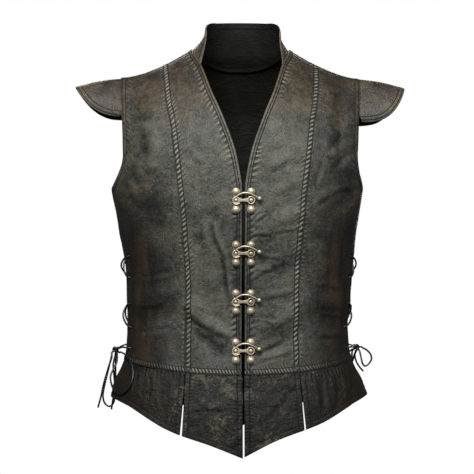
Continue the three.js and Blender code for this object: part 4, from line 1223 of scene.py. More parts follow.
@dataclass(frozen=True)
class AntiqueBrass(Finish):
    """Cast brass, dark in its hollows, polished where it is touched, and darkened with painted shade on
    faces that turn away from the front.
    """

    name: str = "antique_brass"
    hollow: Point = (0.012, 0.008, 0.005)
    bright: Point = (0.56, 0.48, 0.345)

    def dress(self, nodes: Nodes, shader: bpy.types.Node) -> None:
        """Set the brass's colour, gloss and casting marks."""
        place = nodes.place()
        # polish: high places polished, low places in patina, faces turned aside darkened with painted shade
        polish_and_facing_shade = nodes.attribute("polish_and_facing_shade")
        blotch = nodes.noise(place, 420, 4, 0.65, 0.4)
        shine = (polish_and_facing_shade * 1.2 + (blotch - 0.5) * 0.7 - 0.06).clamped()
        colour = nodes.blend(shine, rgba(self.hollow), rgba(self.bright))
        pits = nodes.noise(place, 1500, 3)
        self.feed(nodes, shader, Base_Color=colour, Metallic=0.35 + shine * 0.25)
        self.feed(nodes, shader, Roughness=(0.62 - shine * 0.2).clamped(0.2, 0.8))
        self.feed(nodes, shader, Normal=nodes.bump(pits, 0.3, 0.0002))


LEATHER = RubbedLeather()
TAB_LEATHER = RubbedLeather(name="tab_leather", gloss=0.24, start=2.06)
FLESH = FleshSide()
THONG = Thong()
THREAD = Thread()
BRASS = AntiqueBrass()


# --- Bodice, basque, collar and wings ---
class Side(Enum):
    """The wearer's right and left side."""

    RIGHT = -1
    LEFT = 1

    @property
    def word(self) -> str:
        """Return the side's name as it ends a node's name."""
        return self.name.lower()


EdgeAngle = Callable[[Array], Array]
RowAt = Callable[[Array, Array], Array]
STEP = 1.0


def spread(width: float, fine: float, coarse: float, margin: float = 14.0) -> Array:
    """Return shares of a width, close together near both ends.

    Args:
        width: Width in millimetres.
        fine: Spacing near the ends.
        coarse: Spacing in the middle.
        margin: Width of the fine part at either end.

    Returns:
        Shares from 0 to 1.
    """
    fine, coarse = fine * STEP, coarse * STEP
    edge = np.linspace(0, margin, max(int(margin / fine), 2) + 1)
    middle = np.linspace(margin, width - margin, max(int((width - 2 * margin) / coarse), 1) + 1)[1:-1]
    return np.concatenate([edge, middle, width - edge[::-1]]) / width


def panel_points(shares: Array, heads: Array, left: EdgeAngle, right: EdgeAngle, row_at: RowAt) -> Array:
    """Return the outer points of a panel.

    Args:
        shares: Place of each column between the two edges, from 0 to 1.
        heads: Value that gives each row, from the foot up.
        left: Angle of the left edge at a level.
        right: Angle of the right edge at a level.
        row_at: Row below the shoulder seam, from a row's value and the angle.

    Returns:
        The points, rows by columns.
    """
    share = np.broadcast_to(shares[None, :], (len(heads), len(shares)))
    head = np.broadcast_to(heads[:, None], share.shape)
    row = row_at(head, np.full(share.shape, float(left(np.array(-300.0)) + right(np.array(-300.0))) / 2))
    for _ in range(6):
        level = FORM.level_of(row)
        angle = mix(left(level), right(level), share)
        row = row_at(head, angle)
    return FORM.folded(angle, row)


def bodice_row(head: Array, angle: Array) -> Array:
    """Return a bodice row, bent to the waist seam at its foot and to the back neckline at its head."""
    low = float(FORM.row_of(LOW_LEVEL))
    lowest = float(FORM.row_of(WAIST_SIDE - WAIST_DIP))
    foot = mix(low, FORM.row_of(FORM.waist_seam(angle)), (head - low) / (lowest - low))
    top = mix(FORM.back_neck_row(angle), 1, (head - SHOULDER_ROW) / (1 - SHOULDER_ROW))
    upper = np.where((head > 1) | (np.cos(angle) > 0), head, top)
    return np.where(head > low, foot, upper)


def basque_row(head: Array, angle: Array) -> Array:
    """Return a basque row, from the hem up to the waist seam."""
    return mix(FORM.row_of(FORM.hem(angle)), FORM.row_of(FORM.waist_seam(angle) - SEAM_GAP), head)


def bodice_heads(step: float) -> Array:
    """Return the values of the bodice's rows, from the waist seam up to the shoulder seam."""
    lowest = float(FORM.row_of(WAIST_SIDE - WAIST_DIP))
    return np.linspace(lowest, SHOULDER_ROW, int(lowest / (step * STEP)))


def slit_half_angle(level: Array) -> Array:
    """Return half the width of the slit beside the princess line, as an angle."""
    share = np.clip((WAIST_SIDE - WAIST_DIP - level) / 90, 0, 1)
    return mix(SLIT_TOP, SLIT_HEM, share) / 2 / 185


PLAIN = Sewing(band=0.4, rise=0.0, rows=(), pucker=0.0, bare=0.0)
SEAM = Sewing(
    band=8.2, rows=(1.2, 8.2), pucker=1.3, beyond=0.7, pitch=7.4, roll=0.35, slant=0.7, shade=0.4, bare=0.0
)
SEAM_BESIDE = replace(PLAIN, beyond=0.6, reach=8, pitch=7.4, roll=0.35)
FRONT_EDGE = Sewing(
    band=7.4, rise=0.8, rows=(3.9, 7.6), pucker=0.25, beyond=1.2, reach=12, pitch=9.4, roll=0.6, slant=0.4
)
ARMHOLE = Sewing(rows=(1.4, 8.0), pucker=0.35, beyond=0.5, reach=9, pitch=5.6)
WAIST_ABOVE = Sewing(
    band=8.4, rows=(1.0, 8.4), pucker=1.2, beyond=0.5, reach=11, pitch=5.0, slant=0.5, shade=0.45, bare=0.0
)
WAIST_BELOW = replace(PLAIN, beyond=0.45, reach=9, pitch=5.4)
WAIST_PLEATS = replace(PLAIN, beyond=0.8, reach=20, pitch=6.6)
LACED_EDGE = Sewing(
    rise=0.6, rows=(1.4, 8.0), pucker=0.5, beyond=1.1, reach=17, pitch=8.2, slant=-0.9, bare=0.7, below=-285
)
TAB_EDGE = Sewing(rise=0.6, pucker=0.3, beyond=0.5, pitch=5.4, roll=0.6, bare=0.7)
NECK_SEAM = Sewing(rise=0.6, rows=(1.4, 8.0), pucker=0.5, beyond=0.5)
SHOULDER_SEAM = Sewing(band=6.0, rise=0.5, rows=(6.0,), pucker=0.4, beyond=0.4, roll=0.2, bare=0.3)
COLLAR_TOP_EDGE = Sewing(band=10.0, rise=0.5, rows=(10.0,), pucker=0.25, beyond=0.4, roll=0.7)
COLLAR_FRONT_EDGE = Sewing(band=5.5, rise=0.5, rows=(5.5,), pucker=0.25, beyond=0.35, roll=0.7)
WING_EDGE = Sewing(band=9.0, rise=0.6, rows=(3.0, 9.0), pucker=0.3, beyond=0.5, roll=0.7)

# Each row of the next two tables is a crease's x0, z0, x1, z1, width, rise and, where it is bent, its bow.
FRONT_CREASES = (
    (-49, -276, -31, -334, 4.6, 2.7), (-31, -328, -23, -395, 4.6, 2.5), (-72, -266, -45, -337, 9.2, 0.72),
    (-84, -414, -46, -442, 5.8, 0.96, -3), (-46, -442, -17, -453, 5.8, 0.84),
    (-78, -429, -23, -463, 6.9, -0.6, -3), (-60, -300, -86, -330, 5.8, 0.54),
    (-96, -160, -62, -190, 8.0, 0.54), (16, -477, 63, -458, 5.2, 1.1), (23, -489, 75, -475, 4.6, 0.72),
    (10, -282, 36, -264, 3.4, 0.84), (10, -299, 43, -294, 3.7, 0.96), (43, -294, 91, -284, 3.9, 0.78),
    (13, -270, 30, -258, 3.0, 0.6), (28, -329, 59, -332, 3.4, 0.66), (13, -346, 48, -352, 3.4, 0.54),
    (10, -366, 71, -337, 5.8, 0.78, 4), (23, -395, 84, -380, 5.2, 0.78, -3),
    (20, -422, 50, -429, 3.9, -0.6), (44, -442, 86, -420, 6.3, 0.72), (38, -200, 84, -176, 6.9, 0.54),
    (46, -236, 90, -214, 6.9, 0.48), (160, -137, 127, -175, 6.9, 0.96), (127, -175, 110, -221, 5.8, 0.84),
    (112, -252, 134, -236, 5.8, 0.96), (134, -236, 175, -226, 5.8, 0.84, 3),
    (171, -164, 140, -199, 5.8, 0.72), (114, -372, 158, -384, 5.2, 0.66, 3),
    (116, -414, 164, -424, 5.2, -0.66), (112, -450, 160, -456, 5.2, 0.66),
    (-158, -116, -142, -175, 10.3, 1.1), (-180, -208, -158, -257, 5.8, 0.72),
    (-169, -180, -148, -236, 5.8, 0.6), (-112, -352, -158, -366, 5.2, 0.66),
    (-116, -398, -166, -410, 5.2, -0.66, 3), (-108, -440, -164, -452, 5.2, 0.72),
    (84, -518, 22, -586, 6.5, -0.55), (34, -538, 74, -530, 6.0, 0.5, 3),
    (-86, -566, -22, -562, 5.0, 0.7, 3), (-52, -566, -54, -600, 4.0, 0.5), (-78, -540, -60, -560, 5.0, 0.5),
    (-40, -580, -14, -600, 5.0, 0.5), (-112, -514, -120, -574, 4.6, 0.9, 2),
    (-126, -512, -128, -568, 4.2, -0.8, -2), (-140, -510, -146, -560, 4.6, 0.9, 2),
    (-155, -508, -158, -550, 4.2, -0.8), (-170, -504, -174, -540, 4.2, 0.8),
    (112, -514, 117, -574, 4.6, -0.9, 2), (125, -512, 130, -570, 4.2, 0.8, -2),
    (139, -510, 142, -562, 4.6, -0.9, 2), (152, -508, 158, -552, 4.2, 0.8),
    (167, -504, 171, -540, 4.2, -0.8),
)
BACK_CREASES = (
    (-120, -110, -90, -210, 7.0, 1.6), (124, -120, 92, -214, 7.0, 1.6), (-60, -96, 50, -110, 6.0, 1.3, 6),
    (-150, -250, -96, -310, 6.0, 1.5), (152, -246, 100, -306, 6.0, -1.5),
    (-140, -352, -40, -372, 5.0, 1.6, 5), (40, -368, 146, -350, 5.0, 1.6, 5),
    (-90, -398, 60, -406, 5.0, -1.6, 4), (20, -424, 150, -416, 5.0, 1.5, 4),
    (-152, -438, -20, -430, 5.0, 1.6), (-60, -460, 80, -466, 5.0, -1.4), (-130, -540, -40, -560, 5.0, 1.4),
    (40, -560, 140, -538, 5.0, -1.4), (-20, -540, 20, -600, 5.0, 1.4),
)
CREASES = tuple(
    Crease(back, *row) for back, rows in ((False, FRONT_CREASES), (True, BACK_CREASES)) for row in rows
)


@dataclass
class Panel:
    """A leather panel that lies on the torso form, between two edges and two rows."""

    node: str
    seed: int
    side: Side | None
    near: EdgeAngle
    far: EdgeAngle
    row_at: RowAt
    heads: Array
    shares: Array
    sewing_near: Sewing
    sewing_far: Sewing
    sewing_foot: Sewing
    sewing_head: Sewing
    flat: tuple[float, float]
    area: float
    crumple: float = 1.0
    wear: float = 0.5
    # how much painted shade the panel takes in its finish, which also makes it browner, glossier and more
    # wrinkled
    dark: float = 0.0
    holes: Sequence[Array] = ()
    finish: RubbedLeather = LEATHER

    def build(self) -> list[bpy.types.Object]:
        """Build the panel and its stitches.

        Returns:
            The panel, and its stitches where it has any.
        """
        mirrored = self.side is Side.RIGHT
        left = (lambda level: -self.far(level)) if mirrored else self.near
        right = (lambda level: -self.near(level)) if mirrored else self.far
        sewn = {
            Edge.LEFT: self.sewing_far if mirrored else self.sewing_near,
            Edge.RIGHT: self.sewing_near if mirrored else self.sewing_far,
            Edge.FOOT: self.sewing_foot,
            Edge.HEAD: self.sewing_head,
        }
        points = panel_points(self.shares, self.heads, left, right, self.row_at)
        sheet = Sheet(self.node, points, sewn, self.seed, self.crumple, CREASES, self.wear, self.dark)
        return finish_sheet(Shell(sheet, self.holes), self.flat, self.area, self.finish)


def finish_sheet(
    shell: Shell, flat: tuple[float, float], area: float, finish: RubbedLeather = LEATHER
) -> list[bpy.types.Object]:
    """Build a shell and its stitches, and say what they stand for.

    Args:
        shell: The shell to build; its sheet bears the name of the solid that it replaces.
        flat: Width and length of the cut, in metres; not used.
        area: Area of the cut, in square metres; not used.
        finish: Finish of its outer face.

    Returns:
        The shell, and its stitches where it has any.
    """
    item = stand_for(shell.build(finish.material(), FLESH.material()), shell.sheet.name)
    pieces = [item]
    if shell.stitches:
        thread = stitch_mesh(f"{item.name}_stitches", shell.stitches, THREAD.material())
        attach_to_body(thread, BODY)
        pieces.append(thread)
    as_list(pieces[1:])
    return pieces


def eyelets(degrees: float) -> list[Array]:
    """Return the middles of a row of eyelets at an angle round the body."""
    return [FORM.over(degrees, z, 0.0) for z in EYELET_ROWS]


@dataclass(frozen=True)
class Bodice:
    """The panels from the shoulders to the waist seam."""

    row_step: float = 0.0062
    back_row_step: float = 0.0105
    seam_half_angle: float = math.radians(0.05)

    def panels(self) -> list[Panel]:
        """Return the bodice's panels."""
        heads = bodice_heads(self.row_step)
        found = []
        for number, side in enumerate(Side):
            centre = Panel(
                node=f"front_centre_{side.word}", seed=101 + number, side=side,
                row_at=bodice_row, heads=heads, near=FORM.neck_edge,
                far=lambda level: FORM.princess(level) - self.seam_half_angle,
                shares=spread(95, 1.25, 2.4, 20), sewing_near=FRONT_EDGE, sewing_far=SEAM,
                sewing_foot=WAIST_ABOVE, sewing_head=SHOULDER_SEAM, flat=(0.13, 0.56), area=0.046, wear=0.55,
            )
            beside = Panel(
                node=f"front_side_{side.word}", seed=111 + number, side=side,
                row_at=bodice_row, heads=heads,
                near=lambda level: FORM.princess(level) + self.seam_half_angle, far=FORM.side_edge,
                shares=spread(125, 1.4, 2.8, 18), sewing_near=SEAM_BESIDE, sewing_far=LACED_EDGE,
                sewing_foot=WAIST_ABOVE, sewing_head=SHOULDER_SEAM, flat=(0.15, 0.54), area=0.058,
                crumple=1.1, wear=0.42, holes=eyelets(side.value * (90 - EYELET_ANGLE)),
            )
            found += [centre, beside]
        back = Panel(
            node="back", seed=121, side=None, row_at=bodice_row, heads=bodice_heads(self.back_row_step),
            near=lambda level: math.pi - FORM.side_edge(level),
            far=lambda level: math.pi + FORM.side_edge(level),
            shares=spread(480, 1.8, 3.6, 20), sewing_near=ARMHOLE, sewing_far=ARMHOLE,
            sewing_foot=WAIST_ABOVE, sewing_head=NECK_SEAM, flat=(0.52, 0.56), area=0.22,
            crumple=1.2, wear=0.45, holes=eyelets(90 + EYELET_ANGLE) + eyelets(-90 - EYELET_ANGLE),
        )
        return [*found, back]


@dataclass(frozen=True)
class Basque:
    """The pieces that hang below the waist seam."""

    row_count: int = 84
    back_row_count: int = 56

    def panels(self) -> list[Panel]:
        """Return the basque's pieces."""
        heads = np.linspace(0, 1, int(self.row_count / STEP))
        sewn = {"sewing_near": TAB_EDGE, "sewing_far": TAB_EDGE, "sewing_foot": TAB_EDGE}
        found = []
        for number, side in enumerate(Side):
            front = Panel(
                node=f"front_tab_{side.word}", seed=131 + number, side=side, row_at=basque_row, heads=heads,
                near=lambda level: FORM.angle_for(TAB_GAP, level),
                far=lambda level: FORM.princess(level) - slit_half_angle(level),
                shares=spread(91, 1.4, 1.9), **sewn, sewing_head=WAIST_BELOW,
                flat=(0.095, 0.13), area=0.0101, crumple=2.3, wear=0.56, dark=0.95, finish=TAB_LEATHER,
            )
            beside = Panel(
                node=f"side_tab_{side.word}", seed=141 + number, side=side, row_at=basque_row, heads=heads,
                near=lambda level: FORM.princess(level) + slit_half_angle(level), far=FORM.side_edge,
                shares=spread(135, 1.4, 2.0), **sewn, sewing_head=WAIST_PLEATS,
                flat=(0.15, 0.105), area=0.0108, crumple=2.6, wear=0.5, dark=1.0, finish=TAB_LEATHER,
            )
            found += [front, beside]
        back = Panel(
            node="basque_back", seed=151, side=None, row_at=basque_row,
            heads=np.linspace(0, 1, int(self.back_row_count / STEP)),
            near=lambda level: math.pi - FORM.side_edge(level),
            far=lambda level: math.pi + FORM.side_edge(level),
            shares=spread(460, 1.8, 2.8), **sewn, sewing_head=WAIST_BELOW,
            flat=(0.50, 0.13), area=0.038, crumple=1.4, wear=0.45, dark=0.65, finish=TAB_LEATHER,
        )
        return [*found, back]


@dataclass(frozen=True)
class Collar:
    """The stand collar, which leaves the neckline and leans in to its top edge."""

    top: float = 51.5
    crown: float = 3.0
    drop: float = 21.0
    half: float = 60.0
    behind: float = 60.0
    front_height: float = -28.0
    back_share: float = 0.68
    front_turn: float = 98.0
    lift: float = 0.7
    lean: float = 4.0
    inset: float = 0.018
    tuck: float = 0.08
    columns: int = 300
    rows: int = 58

    def neckline(self, share: Array) -> tuple[Array, Array]:
        """Work out the neckline, from -1 at the right front end to 1 at the left one.

        Args:
            share: Places along the neckline.

        Returns:
            Points on the neckline, and points under the leather beside it, where the collar is sewn in.
        """
        along = np.abs(share)
        behind = along < self.back_share
        neck_angle = float(FORM.neck_edge(np.array(0.0)))
        back_angle = mix(math.pi, math.pi - neck_angle, np.clip(along / self.back_share, 0, 1))
        low = float(FORM.row_of(self.front_height - 5))
        front_row = mix(0.0, low, np.clip((along - self.back_share) / (1 - self.back_share), 0, 1))
        angle = np.where(behind, back_angle, FORM.neck_edge(FORM.level_of(front_row)))
        row = np.where(behind, FORM.back_neck_row(back_angle), front_row)
        points = FORM.folded(angle, row)
        beside = FORM.folded(np.where(behind, angle, angle + 0.07), np.where(behind, row + 0.12, row))
        sewn = points + 5.0 * unit(beside - points) - 2.9 * FORM.normal(angle, np.maximum(row, 0.01))
        for line in (points, sewn):
            line[..., 0] *= np.where(share * line[..., 0] < 0, -1, 1)
        points[..., 0] *= 1 - self.inset
        return points, sewn

    def points(self) -> Array:
        """Return the collar's outer points, rows by columns, from one front edge to the other."""
        share = np.linspace(1, -1, int(self.columns / STEP))
        up = np.linspace(-self.tuck, 1, int(self.rows / STEP))[:, None]
        under = np.clip(-up / self.tuck, 0, 1)
        up = np.clip(up, 0, 1)
        neckline, sewn = self.neckline(share)
        foot = mix(neckline[None], sewn[None], under[..., None])
        turn = np.radians(share * self.front_turn)
        side, front = np.clip(np.abs(share) / 0.45, 0, 1), np.clip((np.abs(share) - 0.45) / 0.55, 0, 1)
        height = self.top - self.crown * side**2 - self.drop * front**2
        x, y = self.lean + self.half * np.sin(turn), self.behind * np.cos(turn)
        shape = (len(up), len(share))
        lean = np.broadcast_to((1 - up) ** 1.8, shape)
        return np.stack(
            [
                mix(x[None], foot[..., 0], lean),
                mix(y[None], foot[..., 1], lean),
                mix(foot[..., 2] + self.lift, height[None], np.broadcast_to(up, shape)),
            ],
            axis=-1,
        )

    def build(self) -> list[bpy.types.Object]:
        """Build the collar and its stitches."""
        sewing = {
            Edge.HEAD: COLLAR_TOP_EDGE,
            Edge.LEFT: COLLAR_FRONT_EDGE,
            Edge.RIGHT: COLLAR_FRONT_EDGE,
            Edge.FOOT: SEAM_BESIDE,
        }
        sheet = Sheet("collar", self.points(), sewing, seed=161, crumple=0.6)
        return finish_sheet(Shell(sheet), (0.34, 0.09), 0.0175)


@dataclass(frozen=True)
class Wing:
    """A shoulder wing, sewn into the armhole and standing out over the shoulder."""

    side: Side
    foot: float
    fall: float
    tip: float = -61.0
    reach: float = 72.0
    spread_out: float = 20.0
    crown: float = 2.6
    lift: float = 0.5
    attach: float = -92.0
    tuck: float = 0.08
    columns: int = 200
    rows: int = 54

    def armhole(self, share: Array) -> Array:
        """Return points of the left armhole's edge, -1 at the wing's front end and 1 at its back end."""
        level = mix(0.0, self.attach, np.abs(share) ** SHOULDER_ROUNDNESS)
        edge = FORM.side_edge(level)
        return FORM.folded(np.where(share < 0, edge, math.pi - edge), FORM.row_of(level))

    def points(self) -> Array:
        """Return the wing's outer points, rows by columns, from the armhole out."""
        share = np.linspace(1, -1, int(self.columns / STEP))
        out = np.linspace(-self.tuck, 1, int(self.rows / STEP))[:, None, None]
        under = np.clip(-out / self.tuck, 0, 1)
        out = np.clip(out, 0, 1)
        foot = self.armhole(share)
        turn = np.abs(share) * math.pi / 2
        cosine = np.clip(np.cos(turn), 0, 1)
        tip = np.stack(
            [
                foot[:, 0] + 3 + (self.reach - 3) * cosine**0.75,
                foot[:, 1] + np.sign(share) * self.spread_out * np.sin(2 * turn),
                mix(self.foot, self.tip, cosine**self.fall),
            ],
            axis=-1,
        )
        bulge = np.stack([np.zeros_like(turn), np.sign(share) * np.sin(turn), cosine], axis=-1)
        points = mix(foot[None], tip[None], out) + self.crown * np.sin(np.pi * out) * bulge[None]
        points = points - 2.4 * smooth(0, 0.5, under) * bulge[None]
        points[..., 0] += self.lift - 5.0 * under[..., 0]
        if self.side is Side.RIGHT:
            points[..., 0] = 2 * FORM.shift(points[..., 2]) - points[..., 0]
            points = points[:, ::-1]
        return points

    def build(self) -> list[bpy.types.Object]:
        """Build the wing and its stitches."""
        sewing = {Edge.HEAD: WING_EDGE, Edge.FOOT: SEAM_BESIDE}
        name, seed = f"wing_{self.side.word}", 171 + self.side.value
        sheet = Sheet(name, self.points(), sewing, seed, crumple=1.1, wear=0.52, dark=0.22)
        return finish_sheet(Shell(sheet), (0.17, 0.08), 0.0085)


# --- Laces ---
class LacePoint(NamedTuple):
    """A point of the lacing: angle round the body in degrees, height, distance out of the leather's face."""

    angle: float
    z: float
    off: float


@dataclass(frozen=True)
class Bow:
    """A loop or a free end of a bow, by the directions in which it leaves the knot and comes back."""

    part: str
    start: Point
    end: Point | None
    points: tuple[Point, ...]


LACING_ROWS = (
    (81, -474, 7), (73.6, -473.2, 4.4), (72, -473, -1), (71.4, -470, -6.6), (71.4, -457, -8),
    (71.6, -444, -6.6), (72, -441, -1), (73.6, -439, 3.4), (80, -432, 5.2), (90, -422, 5.8),
    (100, -412, 5.2), (106.4, -405, 3.4), (108, -403, -1), (108.6, -400, -6.6), (108.6, -383, -8.4),
    (108.6, -366, -6.6), (108, -363, -1), (106.4, -361, 3.4), (100, -355, 5.2), (90, -346, 5.8),
    (80, -337, 5.2), (73.6, -331, 3.4), (72, -329, -1), (73.4, -327.5, -6.6), (81, -326, -8.2),
    (90, -326, -9), (99, -326, -8.2), (106.6, -327.5, -6.6), (108, -329, -1), (106.6, -331, 2.8),
    (100, -337, 2.8), (90, -346, 2.2), (80, -355, 2.8), (73.4, -361, 2.8), (72, -363, -1),
    (71.4, -366, -6.6), (71.4, -383, -8.4), (71.4, -400, -6.6), (72, -403, -1), (73.4, -405, 2.8),
    (80, -412, 2.8), (90, -422, 2.2), (100, -432, 2.8), (106.6, -439, 2.8), (108, -441, -1),
    (108.6, -444, -6.6), (108.6, -457, -8), (108.6, -470, -6.6), (108, -473, -1), (106.4, -473.2, 4.4),
    (99, -474, 7),
)
LACING = tuple(LacePoint(*row) for row in LACING_ROWS)
BOWS = {
    Side.RIGHT: (
        Bow(
            "loop_front", (-0.6, -0.62, -0.5), (-0.25, -0.62, -0.74),
            (
                (190, -20, -481), (179, -45, -486), (171, -62, -498), (169, -72, -513), (173, -76, -528),
                (182, -70, -539), (191, -59, -543), (200, -44, -538), (205, -32, -528), (206, -25, -518),
                (202, -20, -508), (197, -15, -498),
            ),
        ),
        Bow(
            "loop_back", (0.62, 0.62, -0.48), (0.05, 0.66, -0.75),
            (
                (206, 9, -488), (212, 10, -514), (218, 10, -539), (220, 10, -554), (217, 9, -565),
                (210, 8, -570), (204, 9, -566), (201, 11, -554), (200, 11, -535), (200, 10, -510),
            ),
        ),
        Bow(
            "end_front", (0.72, -0.3, -0.62), None,
            (
                (205, -5, -489), (210, -7, -505), (215, -8, -522), (219, -8, -537), (222, -8, -552),
                (227, -8, -570),
            ),
        ),
        Bow(
            "end_back", (0.1, 0, -1), None,
            (
                (200, 0, -488), (203, -2, -502), (202, -2, -517), (201, -1, -532), (202, 0, -547),
                (204, 1, -560), (206, 0, -574),
            ),
        ),
    ),
    Side.LEFT: (
        Bow(
            "loop_front", (0.9, -0.4, 0), (0.5, -0.6, -0.62),
            (
                (195, -7, -476), (202, -8, -480), (208, -9, -487), (209, -10, -494), (205, -11, -501),
                (199, -12, -505), (195, -13, -502), (193, -12, -495),
            ),
        ),
        Bow(
            "loop_back", (0.2, 0.75, -0.62), (-0.1, 0.9, -0.35),
            (
                (185, 18, -488), (184, 36, -500), (180, 50, -510), (176, 60, -519), (173, 68, -523),
                (167, 70, -515), (168, 60, -503), (173, 47, -492), (179, 30, -484), (183, 15, -479),
            ),
        ),
        Bow(
            "end_front", (-0.1, 0.1, -1), None,
            (
                (184, 5, -489), (187, 7, -500), (192, 8, -508), (198, 8, -515),
            ),
        ),
        Bow(
            "end_back", (-0.5, 0.6, -0.62), None,
            (
                (180, 11, -487), (181, 13, -502), (184, 14, -518),
            ),
        ),
    ),
}


def smooth_path(points: Sequence[Array], each: int) -> Array:
    """Return a smooth line through points, with so many steps from one to the next.

    Args:
        points: Points that the line passes.
        each: Steps between two of them.

    Returns:
        The points of the line.
    """
    known = np.array(points, dtype=float)
    known = np.concatenate([[2 * known[0] - known[1]], known, [2 * known[-1] - known[-2]]])
    line = []
    for a, b, c, d in zip(known[:-3], known[1:-2], known[2:-1], known[3:]):
        steps = [max(float(np.linalg.norm(q - p)) ** 0.5, 1e-4) for p, q in ((a, b), (b, c), (c, d))]
        slope_b = (b - a) / steps[0] - (c - a) / (steps[0] + steps[1]) + (c - b) / steps[1]
        slope_c = (c - b) / steps[1] - (d - b) / (steps[1] + steps[2]) + (d - c) / steps[2]
        for t in np.arange(each) / each:
            line.append(
                (2 * t**3 - 3 * t**2 + 1) * b
                + (t**3 - 2 * t**2 + t) * slope_b * steps[1]
                + (3 * t**2 - 2 * t**3) * c
                + (t**3 - t**2) * slope_c * steps[1]
            )
    line.append(known[-2])
    return np.array(line)


@dataclass(frozen=True)
class SideLacing:
    """The lacing of one side, its knot and its bow."""

    side: Side
    knot_centre: Point
    knot_radii: Point = (5.4, 5.8, 4.8)
    knot_gap: float = 0.32
    lace_to_knot: Point = (-0.3, -0.94, 0.1)
    diameter: float = 3.0

    def near_knot(self, direction: Point, distance: float) -> Array:
        """Return a point at a distance from the knot's surface."""
        way = unit(np.array(direction, dtype=float))
        radius = 1 / float(np.linalg.norm(way / np.array(self.knot_radii)))
        point = way * (radius + distance) + np.array(self.knot_centre)
        return point * (self.side.value, 1, 1)

    def thong(self, name: str, line: Array, node: str, closed: bool) -> bpy.types.Object:
        """Build a round thong along a line, in metres, that stands for a node."""
        curve = bpy.data.curves.new(name, "CURVE")
        curve.dimensions = "3D"
        curve.bevel_depth = self.diameter / 2 * MM
        curve.bevel_resolution = 3
        curve.use_fill_caps = not closed
        spline = curve.splines.new("POLY")
        spline.points.add(len(line) - 1)
        for point, place in zip(spline.points, line):
            point.co = (*place, 1)
        spline.use_smooth = True
        spline.use_cyclic_u = closed
        curve.materials.append(THONG.material())
        return stand_for(placed(name, curve), node)

    def lace(self, name: str, route: Sequence[Array], node: str) -> bpy.types.Object:
        """Args:
            name: Name of the piece.
            route: Points that it passes, in millimetres.
            node: Solid that it replaces.

        Returns:
            The curve object.
        """
        line = smooth_path(route, 6) * MM
        item = self.thong(name, line, node, closed=False)
        return item

    def knot(self) -> bpy.types.Object:
        """Build the knot as a thong wound round itself."""
        turns = np.linspace(0, 2 * np.pi, 121)[:-1]
        reach = np.array(self.knot_radii) - 0.75 * self.diameter / 2
        wound = np.stack(
            [
                (2 + np.cos(3 * turns)) * np.cos(2 * turns) / 3,
                (2 + np.cos(3 * turns)) * np.sin(2 * turns) / 3,
                np.sin(3 * turns) * 0.8,
            ],
            axis=-1,
        )
        line = (wound * reach + np.array(self.knot_centre)) * (self.side.value, 1, 1) * MM
        return self.thong(f"thong_knot_{self.side.word}", line, f"knot_{self.side.word}", closed=True)

    def build(self) -> list[bpy.types.Object]:
        """Build the lacing, the bow and the knot."""
        word = self.side.word
        x, y, z = self.lace_to_knot
        route = [self.near_knot((x, y, z), self.knot_gap), self.near_knot((x, y, z), 3)]
        route += [FORM.over(self.side.value * p.angle, p.z, p.off) for p in LACING]
        route += [self.near_knot((x, -y, z), 3), self.near_knot((x, -y, z), self.knot_gap)]
        pieces = [self.lace(f"thong_lacing_{word}", route, f"lacing_{word}")]
        for bow in BOWS[self.side]:
            route = [self.near_knot(bow.start, self.knot_gap), self.near_knot(bow.start, 4)]
            route += [np.array(point) * (self.side.value, 1, 1) for point in bow.points]
            if bow.end is not None:
                route += [self.near_knot(bow.end, 4), self.near_knot(bow.end, self.knot_gap)]
            name = f"thong_{bow.part}_{word}"
            pieces.append(self.lace(name, route, f"bow_{bow.part}_{word}"))
        pieces.append(self.knot())
        return pieces


# --- Swing clasps ---
# Turned bodies, as radii and heights.
RIVET_SEAT = ((5.2, 0.2), (5.0, 0.9), (4.5, 1.1))
RIVET_DOME = ((4.5, 0.1), (4.4, 1.3), (3.9, 2.3), (2.9, 2.9), (1.6, 3.25), (0.6, 3.35))
PIVOT = ((2.8, -0.4), (2.7, 2.6), (2.2, 3.6), (1.1, 4.1))
POST = ((2.2, -0.4), (2.2, 2.4), (2.9, 3.3), (2.9, 4.3), (1.9, 5.0), (0.7, 5.2))


